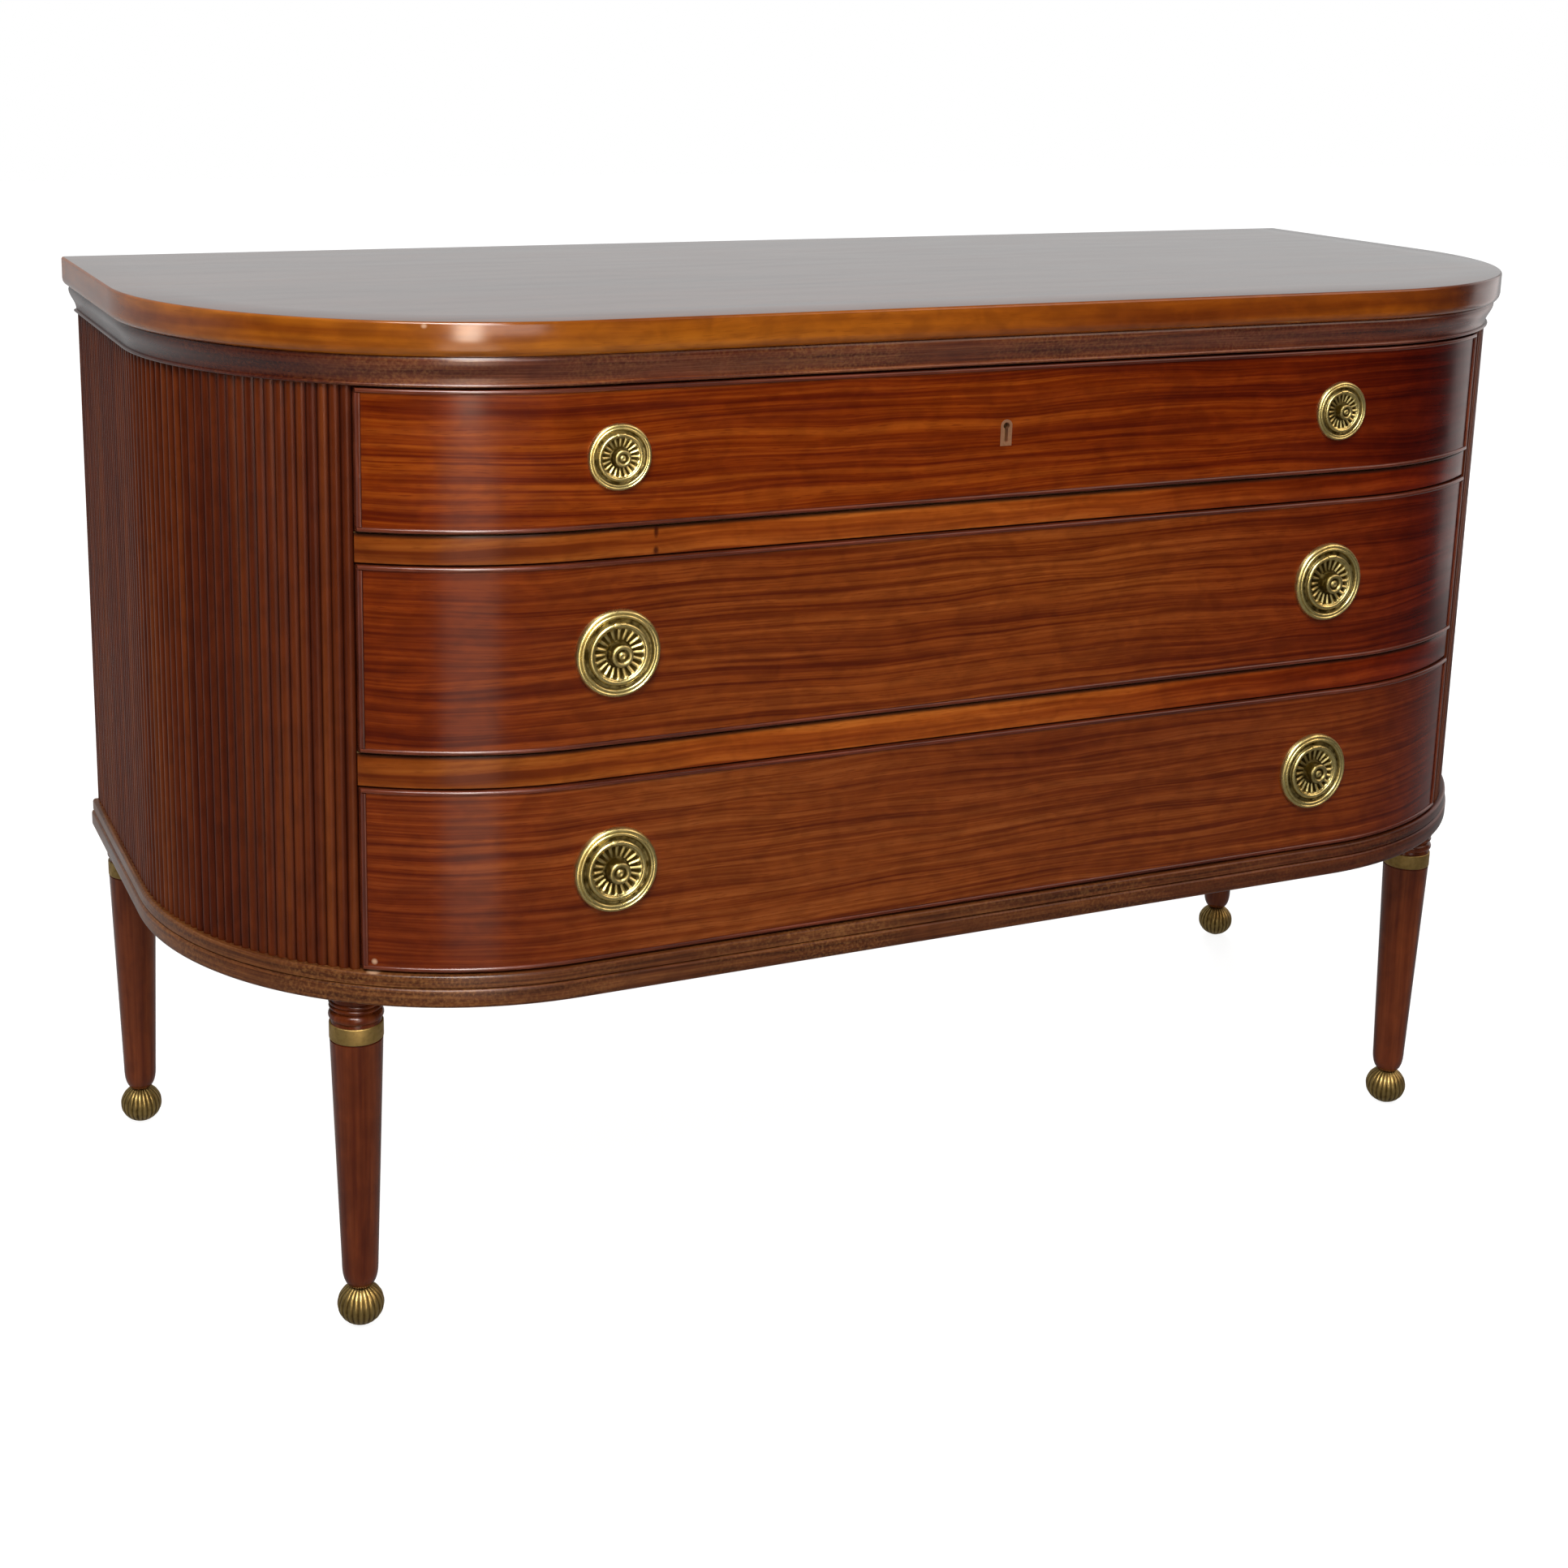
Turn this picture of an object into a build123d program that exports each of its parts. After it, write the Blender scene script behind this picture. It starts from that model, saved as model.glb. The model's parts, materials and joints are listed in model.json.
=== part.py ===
from build123d import *

import os
from math import asin, cos, degrees, pi, sin, sqrt

os.makedirs("parts", exist_ok=True)

# Chest of three drawers with a D-shaped plan: a straight front between quarter-round
# corners, reeded ends, a moulded top and four turned legs on brass ball feet.
# Millimetres. +X is to the right of someone facing the drawers, +Y is to the back and
# +Z is up. The origin is on the floor, under the middle of the piece's outer box.

# Plan of the top, and how far it stands over the body on three sides
top_width = 1250
top_depth = 507
top_corner_radius = 280
top_overhang = 11

# Heights, stacked from the floor
leg_height = 275
base_height = 25
bottom_opening = 142
lower_rail_thickness = 24
middle_opening = 141
upper_rail_thickness = 21
top_opening = 105
cornice_height = 22
top_thickness = 25

# Edges of the top
top_arris = 1.5
top_under_round = 7

# Cornice under the top
cornice_reach = 5.5
cornice_band = 11
cornice_bead = 2
cornice_bead_reach = 1

# Moulding round the base
base_reach = 5.5
base_band = 15
base_band_round = 3
base_strip_reach = 4
base_strip_round = 2.5
base_quirk = 1.2

# Carcase
facing_thickness = 6
end_wall_thickness = 14
end_width = 116
stile_width = 42
stile_depth = 64
post_size = 40
back_board_thickness = 12
back_board_recess = 3
back_board_count = 3
back_board_gap = 0.6
rail_recess = 1.5
rail_tenon_length = 14
rail_tenon_width = 21
rail_tenon_thickness = 10
rail_tenon_setback = 5
back_rail_depth = 45
runner_width = 46
runner_thickness = 18
guide_width = 20
guide_height = 22

# Reeding on the ends
reed_pitch = 8.7
reed_depth = 2.6

# Drawers
drawer_gap = 1.5
drawer_side_clearance = 1
front_thickness = 22
bead_thickness = 3.5
bead_depth = 7
bead_proud = 1.8
bead_nose_share = 0.42
side_thickness = 12
side_running_gap = 0.5
side_headroom = 8
drawer_back_thickness = 11
drawer_back_space = 28
panel_rise = 8
panel_thickness = 7
groove_depth = 5
tail_pitch = 26
tail_wide = 17
tail_narrow = 11
tail_lap = 3.5

# Ring pulls: each has a round plate with a raised rim, a fluted rosette, and a ring
# on two short pins in a knuckle at its top
pull_inset = 27
small_plate_diameter = 49
large_plate_diameter = 66
small_ring_thickness = 2.6
large_ring_thickness = 3.6
small_plate_thickness = 1
large_plate_thickness = 1.2
pin_share = 0.62
pin_clearance = 0.05
knuckle_slit = 0.4
ring_gap = 0.9
ring_sides = 8
rib_count = 20
stud_diameter = 4
stud_clearance = 0.2
nut_width = 9
nut_thickness = 3

# Places of the pull's parts, as shares of the plate's radius
rim_inner_share = 0.81
ring_outer_share = 0.725
rosette_share = 0.59
rosette_lip_share = 0.555
boss_share = 0.275
knuckle_width_share = 0.27
rim_height_share = 0.145
rosette_height_share = 0.095
floor_height_share = 0.052
boss_height_share = 0.35
boss_dish_share = 0.19

# Lock in the top drawer
liner_width = 10
liner_height = 20.5
liner_depth = 3
liner_proud = 0.4
keyhole_radius = 2.6
keyhole_slot_width = 2.8
keyhole_foot = 3
keyhole_drop = 46
lock_width = 70
lock_depth = 62
lock_thickness = 12
bolt_width = 24
bolt_thickness = 4
bolt_length = 32
bolt_clearance = 0.5
bolt_drop = 0.5
mortise_margin = 1.5
mortise_width = 10
mortise_depth = 10

# Turned legs
leg_front_side_inset = 118
leg_front_inset = 25.6
leg_back_side_inset = 23
leg_back_inset = 29
leg_top_diameter = 41
leg_bead_diameter = 42
leg_torus_diameter = 43
leg_shaft_top_diameter = 40
leg_shaft_foot_diameter = 28
leg_neck_diameter = 24
leg_neck_ring = 7
leg_bead_height = 4
leg_groove_height = 3
leg_groove_depth = 1.2
leg_torus_height = 10
collar_height = 13
collar_thickness = 1
collar_proud = 0.3
leg_foot_round = 12
dowel_diameter = 22
dowel_length = 18
spigot_diameter = 9
spigot_length = 16

# Ball feet
ball_height = 41
ball_diameter = 33.5
ball_flat_diameter = 15
ball_belly_height = 19

# Levels
base_bottom = leg_height
base_top = base_bottom + base_height
lower_rail_bottom = base_top + bottom_opening
lower_rail_top = lower_rail_bottom + lower_rail_thickness
upper_rail_bottom = lower_rail_top + middle_opening
upper_rail_top = upper_rail_bottom + upper_rail_thickness
cornice_bottom = upper_rail_top + top_opening
cornice_top = cornice_bottom + cornice_height

# Plan lines. The body line is the outside of the reeds and of the drawer fronts.
body_half = top_width / 2 - top_overhang
body_depth = top_depth - top_overhang
body_radius = top_corner_radius - top_overhang
corner_x = top_width / 2 - top_corner_radius
opening_half = body_half - end_width
leg_front_x = body_half - leg_front_side_inset
leg_back_x = body_half - leg_back_side_inset
pull_reach = large_plate_diameter / 2 * boss_height_share
overall_depth = max(top_depth, body_depth + pull_reach)
back_y = overall_depth / 2
front_y = back_y - body_depth
corner_y = front_y + body_radius
back_board_front = back_y - back_board_recess - back_board_thickness
stile_outer = opening_half + stile_width
end_wall_inner = body_half - facing_thickness - end_wall_thickness
post_inner = end_wall_inner - post_size

# Drawer lines
drawer_half = opening_half - drawer_side_clearance
side_inner = drawer_half - side_thickness
drawer_rear = back_board_front - drawer_back_space
pull_x = corner_x - pull_inset


def save(piece, name):
    piece.part.label = name
    export_step(piece.part, f"parts/{name}.step")


def save_mirrored(piece, name):
    with BuildPart() as other:
        mirror(piece.part, about=Plane.YZ)
    save(other, name)


def line_y(reach, x):
    """Where the body line, moved out by reach, lies at x on a rounded corner."""
    return corner_y - sqrt((body_radius + reach) ** 2 - (abs(x) - corner_x) ** 2)


def d_face(reach, rear=back_y, mode=Mode.ADD):
    """The D plan inside the body line moved out by reach."""
    half = body_half + reach
    radius = body_radius + reach
    with BuildLine() as outline:
        Polyline((-half, corner_y), (-half, rear), (half, rear), (half, corner_y))
        CenterArc((corner_x, corner_y), radius, 270, 90)
        Line((corner_x, corner_y - radius), (-corner_x, corner_y - radius))
        CenterArc((-corner_x, corner_y), radius, 180, 90)
    make_face(outline.edges(), mode=mode)


def window(x_low, x_high, y_low, y_high, mode=Mode.ADD):
    with Locations(((x_low + x_high) / 2, (y_low + y_high) / 2)):
        Rectangle(x_high - x_low, y_high - y_low, mode=mode)


def bow(outer, inner, half):
    """A strip along the front, between two reaches, cut off square at each end."""
    d_face(outer)
    d_face(inner, mode=Mode.SUBTRACT)
    window(-half, half, front_y - outer, back_y, mode=Mode.INTERSECT)


def section_plane(origin, outward):
    """An upright plane whose x runs outwards from the body line, and whose y runs up."""
    return Plane(origin=origin, x_dir=outward, z_dir=Vector(*outward).cross(Vector(0, 0, 1)))


def face_plane(y):
    """An upright plane across the front at y: its x is X, its y is Z, it faces forwards."""
    return Plane(origin=(0, y, 0), x_dir=(1, 0, 0), z_dir=(0, -1, 0))


def front_length(draw_section, level):
    with BuildSketch(section_plane((corner_x, front_y, level), (0, -1, 0))) as section:
        draw_section()
    extrude(section.sketch, amount=2 * corner_x)


def left_corner(draw_section, level):
    with BuildSketch(section_plane((-corner_x, front_y, level), (0, -1, 0))) as section:
        draw_section()
    revolve(section.sketch, axis=Axis((-corner_x, corner_y, 0), (0, 0, -1)), revolution_arc=90)


def left_side(draw_section, level):
    with BuildSketch(section_plane((-body_half, corner_y, level), (-1, 0, 0))) as section:
        draw_section()
    extrude(section.sketch, amount=back_y - corner_y)


# Top

with BuildPart() as top_slab:
    with BuildSketch(Plane.XY.offset(cornice_top)):
        d_face(top_overhang)
    extrude(amount=top_thickness)
    under_edges = top_slab.faces().sort_by(Axis.Z)[0].edges().sort_by(Axis.Y)[:-1]
    fillet(under_edges, radius=top_under_round)
    upper_edges = top_slab.faces().sort_by(Axis.Z)[-1].edges().sort_by(Axis.Y)[:-1]
    fillet(upper_edges, radius=top_arris)
save(top_slab, "top_slab")


# Cornice: an upright band over a cove, with a fine bead along its lower edge

def cornice_section():
    cove_top = cornice_height - cornice_band
    with BuildLine() as outline:
        Polyline(
            (cornice_reach, cove_top),
            (cornice_reach, cornice_height),
            (-facing_thickness, cornice_height),
            (-facing_thickness, 0),
            (cornice_bead_reach, 0),
            (cornice_bead_reach, cornice_bead),
        )
        RadiusArc((cornice_bead_reach, cornice_bead), (cornice_reach, cove_top), cornice_band)
    make_face(outline.edges())


with BuildPart() as cornice_front:
    front_length(cornice_section, cornice_bottom)
save(cornice_front, "cornice_front")

with BuildPart() as cornice_left:
    left_corner(cornice_section, cornice_bottom)
    left_side(cornice_section, cornice_bottom)
save(cornice_left, "cornice_left")
save_mirrored(cornice_left, "cornice_right")


# Base: a board the size of the body, with a moulding of two rounded members round it

def base_section():
    strip_back = base_strip_reach - base_quirk
    strip_low = base_band + base_quirk
    with BuildLine() as outline:
        Line((-facing_thickness, base_height), (-facing_thickness, 0))
        Line((-facing_thickness, 0), (base_reach - base_band_round, 0))
        RadiusArc((base_reach - base_band_round, 0), (base_reach, base_band_round), -base_band_round)
        Line((base_reach, base_band_round), (base_reach, base_band - base_band_round))
        RadiusArc(
            (base_reach, base_band - base_band_round),
            (base_reach - base_band_round, base_band),
            -base_band_round,
        )
        Polyline(
            (base_reach - base_band_round, base_band),
            (strip_back - base_quirk, base_band),
            (strip_back - base_quirk, strip_low),
            (base_strip_reach, strip_low),
            (base_strip_reach, base_height - base_strip_round),
        )
        RadiusArc(
            (base_strip_reach, base_height - base_strip_round),
            (base_strip_reach - base_strip_round, base_height),
            -base_strip_round,
        )
        Line((base_strip_reach - base_strip_round, base_height), (-facing_thickness, base_height))
    make_face(outline.edges())


with BuildPart() as base_moulding_front:
    front_length(base_section, base_bottom)
save(base_moulding_front, "base_moulding_front")

with BuildPart() as base_moulding_left:
    left_corner(base_section, base_bottom)
    left_side(base_section, base_bottom)
save(base_moulding_left, "base_moulding_left")
save_mirrored(base_moulding_left, "base_moulding_right")

leg_places = {
    "front_left": (-leg_front_x, line_y(0, leg_front_x) + leg_front_inset),
    "front_right": (leg_front_x, line_y(0, leg_front_x) + leg_front_inset),
    "back_left": (-leg_back_x, back_y - leg_back_inset),
    "back_right": (leg_back_x, back_y - leg_back_inset),
}

with BuildPart() as bottom_board:
    with BuildSketch(Plane.XY.offset(base_bottom)):
        d_face(-facing_thickness)
    extrude(amount=base_height)
    with BuildSketch(Plane.XY.offset(base_bottom)):
        with Locations(*leg_places.values()):
            Circle(dowel_diameter / 2)
    extrude(amount=dowel_length, mode=Mode.SUBTRACT)
save(bottom_board, "bottom_board")


# Ends: a curved wall, with reeds glued round it from the drawers to the back

with BuildPart() as end_wall_left:
    with BuildSketch(Plane.XY.offset(base_top)):
        d_face(-facing_thickness)
        d_face(-facing_thickness - end_wall_thickness, mode=Mode.SUBTRACT)
        window(-body_half, -stile_outer, front_y, back_y, mode=Mode.INTERSECT)
    extrude(amount=cornice_top - base_top)
save(end_wall_left, "end_wall_left")
save_mirrored(end_wall_left, "end_wall_right")


def on_left_corner(radius, angle):
    """A point on the left corner, its angle turned from the front towards the side."""
    return (-corner_x - radius * sin(angle), corner_y - radius * cos(angle))


def reed_outline():
    valley_radius = body_radius - reed_depth
    ground_radius = body_radius - facing_thickness
    first_angle = asin((opening_half - corner_x) / valley_radius)
    ground_angle = asin((opening_half - corner_x) / ground_radius)
    turn = pi / 2 - first_angle
    curve_reeds = round(turn * body_radius / reed_pitch)
    side_reeds = round((back_y - corner_y) / reed_pitch)
    side_pitch = (back_y - corner_y) / side_reeds
    valley_x = -body_half + reed_depth
    ground_x = -body_half + facing_thickness
    with BuildLine() as outline:
        for reed in range(curve_reeds):
            start = first_angle + turn * reed / curve_reeds
            middle = first_angle + turn * (reed + 1 / 2) / curve_reeds
            end = first_angle + turn * (reed + 1) / curve_reeds
            ThreePointArc(
                on_left_corner(valley_radius, start),
                on_left_corner(body_radius, middle),
                on_left_corner(valley_radius, end),
            )
        for reed in range(side_reeds):
            near = corner_y + side_pitch * reed
            ThreePointArc(
                (valley_x, near), (-body_half, near + side_pitch / 2), (valley_x, near + side_pitch)
            )
        Polyline((valley_x, back_y), (ground_x, back_y), (ground_x, corner_y))
        CenterArc((-corner_x, corner_y), ground_radius, 180, 90 - degrees(ground_angle))
        Line(on_left_corner(ground_radius, ground_angle), on_left_corner(valley_radius, first_angle))
    make_face(outline.edges())


with BuildPart() as reeding_left:
    with BuildSketch(Plane.XY.offset(base_top)):
        reed_outline()
    extrude(amount=cornice_bottom - base_top)
save(reeding_left, "reeding_left")
save_mirrored(reeding_left, "reeding_right")


# Rails across the front, tenoned into the stiles

tenon_end = opening_half + rail_tenon_length
tenon_front = line_y(-facing_thickness, tenon_end) + rail_tenon_setback
rail_rear = tenon_front + rail_tenon_width
rails = {
    "upper_rail": (upper_rail_bottom, upper_rail_thickness, rail_recess),
    "lower_rail": (lower_rail_bottom, lower_rail_thickness, rail_recess),
    "top_rail_front": (cornice_bottom, cornice_height, facing_thickness),
}


def tenons(bottom, thickness):
    """A tenon on each end of a rail, centred in its thickness."""
    with BuildSketch(Plane.XY.offset(bottom + (thickness - rail_tenon_thickness) / 2)) as plan:
        window(-tenon_end, -opening_half, tenon_front, rail_rear)
        mirror(about=Plane.YZ)
    extrude(plan.sketch, amount=rail_tenon_thickness)


rail_parts = {}
for rail_name, (rail_bottom, rail_thickness, recess) in rails.items():
    with BuildPart() as rail:
        with BuildSketch(Plane.XY.offset(rail_bottom)):
            d_face(-recess)
            window(-opening_half, opening_half, front_y, rail_rear, mode=Mode.INTERSECT)
        extrude(amount=rail_thickness)
        tenons(rail_bottom, rail_thickness)
        if rail_name == "top_rail_front":
            with BuildSketch(Plane.XY.offset(rail_bottom)):
                with Locations((0, front_y + front_thickness - lock_thickness / 2)):
                    Rectangle(bolt_width + 2 * mortise_margin, mortise_width)
            extrude(amount=mortise_depth, mode=Mode.SUBTRACT)
    save(rail, rail_name)
    rail_parts[rail_name] = rail

with BuildPart() as stile_left:
    with BuildSketch(Plane.XY.offset(base_top)):
        d_face(-facing_thickness)
        window(
            -stile_outer, -opening_half,
            front_y, line_y(-facing_thickness, opening_half) + stile_depth,
            mode=Mode.INTERSECT,
        )
    extrude(amount=cornice_top - base_top)
    for rail in rail_parts.values():
        add(rail.part, mode=Mode.SUBTRACT)
save(stile_left, "stile_left")
save_mirrored(stile_left, "stile_right")
stile_rear = line_y(-facing_thickness, opening_half) + stile_depth


# Back: two corner posts, boards between them, and a rail behind the top

with BuildPart() as back_posts:
    with BuildSketch(Plane.XY.offset(base_top)):
        window(-end_wall_inner, -post_inner, back_y - post_size, back_y)
        mirror(about=Plane.YZ)
    extrude(amount=cornice_top - base_top)
save(back_posts, "back_posts")

board_pitch = (cornice_top - base_top + back_board_gap) / back_board_count
with BuildPart() as back_boards:
    for board in range(back_board_count):
        with BuildSketch(Plane.XY.offset(base_top + board * board_pitch)):
            window(-post_inner, post_inner, back_board_front, back_board_front + back_board_thickness)
        extrude(amount=board_pitch - back_board_gap)
save(back_boards, "back_boards")

with BuildPart() as top_rail_back:
    with BuildSketch(Plane.XY.offset(cornice_bottom)):
        window(-post_inner, post_inner, back_board_front - back_rail_depth, back_board_front)
    extrude(amount=cornice_height)
save(top_rail_back, "top_rail_back")


# Runners carry the drawers' sides, guides keep them straight, kickers stop them tipping

runner_inner = opening_half - runner_width


def bar_pair(x_low, x_high, y_low, y_high, z_low, z_high):
    with BuildSketch(Plane.XY.offset(z_low)) as plan:
        window(-x_high, -x_low, y_low, y_high)
        mirror(about=Plane.YZ)
    extrude(plan.sketch, amount=z_high - z_low)


for runner_name, level in (("upper_runners", upper_rail_top), ("lower_runners", lower_rail_top)):
    with BuildPart() as runners:
        bar_pair(
            runner_inner, opening_half, rail_rear, back_board_front,
            level - runner_thickness, level,
        )
        bar_pair(
            opening_half, opening_half + guide_width, stile_rear, back_board_front,
            level - runner_thickness, level + guide_height,
        )
    save(runners, runner_name)

with BuildPart() as bottom_guides:
    bar_pair(
        opening_half, opening_half + guide_width, stile_rear, back_board_front,
        base_top, base_top + guide_height,
    )
save(bottom_guides, "bottom_guides")

with BuildPart() as kickers:
    bar_pair(
        runner_inner, opening_half, rail_rear, back_board_front - back_rail_depth,
        cornice_bottom, cornice_top,
    )
save(kickers, "kickers")


# Legs: turned in one piece, with a dowel up into the base and a spigot for the foot

torus_top = leg_height - leg_neck_ring - leg_bead_height - leg_groove_height
torus_bottom = torus_top - leg_torus_height
collar_top = torus_bottom
collar_bottom = collar_top - collar_height
collar_seat_radius = leg_shaft_top_diameter / 2 + collar_proud - collar_thickness
shaft_foot = ball_height + leg_foot_round


def leg_profile():
    bead_top = leg_height - leg_neck_ring
    bead_bottom = bead_top - leg_bead_height
    groove_radius = leg_top_diameter / 2 - leg_groove_depth
    with BuildLine() as outline:
        Polyline(
            (0, leg_height + dowel_length),
            (dowel_diameter / 2, leg_height + dowel_length),
            (dowel_diameter / 2, leg_height),
            (leg_top_diameter / 2, leg_height),
            (leg_top_diameter / 2, bead_top),
        )
        ThreePointArc(
            (leg_top_diameter / 2, bead_top),
            (leg_bead_diameter / 2, bead_top - leg_bead_height / 2),
            (leg_top_diameter / 2, bead_bottom),
        )
        Polyline(
            (leg_top_diameter / 2, bead_bottom),
            (groove_radius, bead_bottom),
            (groove_radius, torus_top),
            (leg_top_diameter / 2, torus_top),
        )
        ThreePointArc(
            (leg_top_diameter / 2, torus_top),
            (leg_torus_diameter / 2, (torus_top + torus_bottom) / 2),
            (leg_shaft_top_diameter / 2, torus_bottom),
        )
        Polyline(
            (leg_shaft_top_diameter / 2, torus_bottom),
            (collar_seat_radius, torus_bottom),
            (collar_seat_radius, collar_bottom),
            (leg_shaft_top_diameter / 2, collar_bottom),
            (leg_shaft_foot_diameter / 2, shaft_foot),
        )
        RadiusArc(
            (leg_shaft_foot_diameter / 2, shaft_foot),
            (leg_neck_diameter / 2, ball_height),
            leg_shaft_foot_diameter,
        )
        Polyline(
            (leg_neck_diameter / 2, ball_height),
            (spigot_diameter / 2, ball_height),
            (spigot_diameter / 2, ball_height - spigot_length),
            (0, ball_height - spigot_length),
            (0, leg_height + dowel_length),
        )
    make_face(outline.edges())


def upright_plane(x, y):
    """The plane through a leg's axis that shows its profile."""
    return Plane(origin=(x, y, 0), x_dir=(1, 0, 0), z_dir=(0, -1, 0))


for corner, (leg_x, leg_y) in leg_places.items():
    with BuildPart() as leg:
        with BuildSketch(upright_plane(leg_x, leg_y)):
            leg_profile()
        revolve(axis=Axis((leg_x, leg_y, 0), (0, 0, 1)))
    save(leg, f"leg_{corner}")

with BuildPart() as leg_collars:
    for leg_x, leg_y in leg_places.values():
        with BuildSketch(upright_plane(leg_x, leg_y)):
            with BuildLine():
                Polyline(
                    (collar_seat_radius, collar_bottom),
                    (collar_seat_radius + collar_thickness, collar_bottom),
                    (collar_seat_radius + collar_thickness, collar_top),
                    (collar_seat_radius, collar_top),
                    close=True,
                )
            make_face()
        revolve(axis=Axis((leg_x, leg_y, 0), (0, 0, 1)))
save(leg_collars, "leg_collars")


def ball_profile():
    with BuildLine() as outline:
        Polyline(
            (leg_neck_diameter / 2, ball_height),
            (spigot_diameter / 2, ball_height),
            (spigot_diameter / 2, ball_height - spigot_length),
            (0, ball_height - spigot_length),
            (0, 0),
            (ball_flat_diameter / 2, 0),
        )
        ThreePointArc(
            (ball_flat_diameter / 2, 0),
            (ball_diameter / 2, ball_belly_height),
            (leg_neck_diameter / 2, ball_height),
        )
    make_face(outline.edges())


with BuildPart() as ball_feet:
    for leg_x, leg_y in leg_places.values():
        with BuildSketch(upright_plane(leg_x, leg_y)):
            ball_profile()
        revolve(axis=Axis((leg_x, leg_y, 0), (0, 0, 1)))
save(ball_feet, "ball_feet")


# Drawers

def tails(root_y, tip_y, low, high):
    """Dovetails on the left side's end between two heights, wide at tip_y."""
    count = max(1, int((high - low) // tail_pitch))
    pitch = (high - low) / count
    with BuildPart() as pair:
        with BuildSketch(Plane.YZ.offset(-drawer_half)):
            for tail in range(count):
                middle = low + pitch * (tail + 1 / 2)
                with BuildLine():
                    Polyline(
                        (tip_y, middle - tail_wide / 2),
                        (tip_y, middle + tail_wide / 2),
                        (root_y, middle + tail_narrow / 2),
                        (root_y, middle - tail_narrow / 2),
                        close=True,
                    )
                make_face()
        extrude(amount=side_thickness)
        mirror(about=Plane.YZ)
    return pair.part


def bead_section(thickness):
    """A strip let into the front's edge, with a half-round nose."""
    with BuildLine() as outline:
        Polyline(
            (bead_proud - thickness / 2, thickness),
            (-bead_depth, thickness),
            (-bead_depth, 0),
            (bead_proud - thickness / 2, 0),
        )
        ThreePointArc(
            (bead_proud - thickness / 2, 0),
            (bead_proud, thickness / 2),
            (bead_proud - thickness / 2, thickness),
        )
    make_face(outline.edges())


def make_beading(front_low, front_high):
    with BuildPart() as beading:
        for level in (front_low, front_high - bead_thickness):
            front_length(lambda: bead_section(bead_thickness), level)
            left_corner(lambda: bead_section(bead_thickness), level)
        with BuildSketch(Plane.XY.offset(front_low)):
            window(-drawer_half, corner_x, front_y - bead_proud, back_y)
        extrude(amount=front_high - front_low, mode=Mode.INTERSECT)
        mirror(about=Plane.YZ)
    with BuildPart() as upright:
        with BuildSketch(Plane.XY.offset(front_low + bead_thickness)):
            d_face(bead_proud)
            d_face(-bead_depth, mode=Mode.SUBTRACT)
            window(
                -drawer_half, -drawer_half + bead_thickness, front_y, back_y, mode=Mode.INTERSECT
            )
        extrude(amount=front_high - front_low - 2 * bead_thickness)
        nose_edges = upright.edges().filter_by(Axis.Z).sort_by(Axis.Y)[:2]
        fillet(nose_edges, radius=bead_thickness * bead_nose_share)
        mirror(about=Plane.YZ)
    with BuildPart() as strips:
        add(beading.part)
        add(upright.part)
    return strips


def keyhole(y, depth, mode):
    """The key's way in: a round over a slot."""
    with BuildSketch(face_plane(y)) as outline:
        with Locations((0, keyhole_z)):
            Circle(keyhole_radius)
        slot_foot = liner_bottom + keyhole_foot
        with Locations((0, (keyhole_z + slot_foot) / 2)):
            Rectangle(keyhole_slot_width, keyhole_z - slot_foot)
    extrude(outline.sketch, amount=-depth, mode=mode)


def liner_face(y, depth, mode):
    """The liner's outline: an arch over a square foot."""
    with BuildSketch(face_plane(y)) as outline:
        with Locations((0, keyhole_z)):
            Circle(liner_width / 2)
        with Locations((0, (keyhole_z + liner_bottom) / 2)):
            Rectangle(liner_width, keyhole_z - liner_bottom)
    extrude(outline.sketch, amount=-depth, mode=mode)


top_front_high = cornice_bottom - drawer_gap
keyhole_z = top_front_high - keyhole_drop
liner_bottom = keyhole_z + liner_width / 2 - liner_height
lock_rear = front_y + front_thickness
lock_front = lock_rear - lock_thickness
bolt_y = (lock_front + lock_rear) / 2
bolt_top = top_front_high - bolt_drop


def lock_block(mode):
    with BuildSketch(Plane.XY.offset(top_front_high - lock_depth)) as plan:
        window(-lock_width / 2, lock_width / 2, lock_front, lock_rear)
    extrude(plan.sketch, amount=lock_depth, mode=mode)


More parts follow.
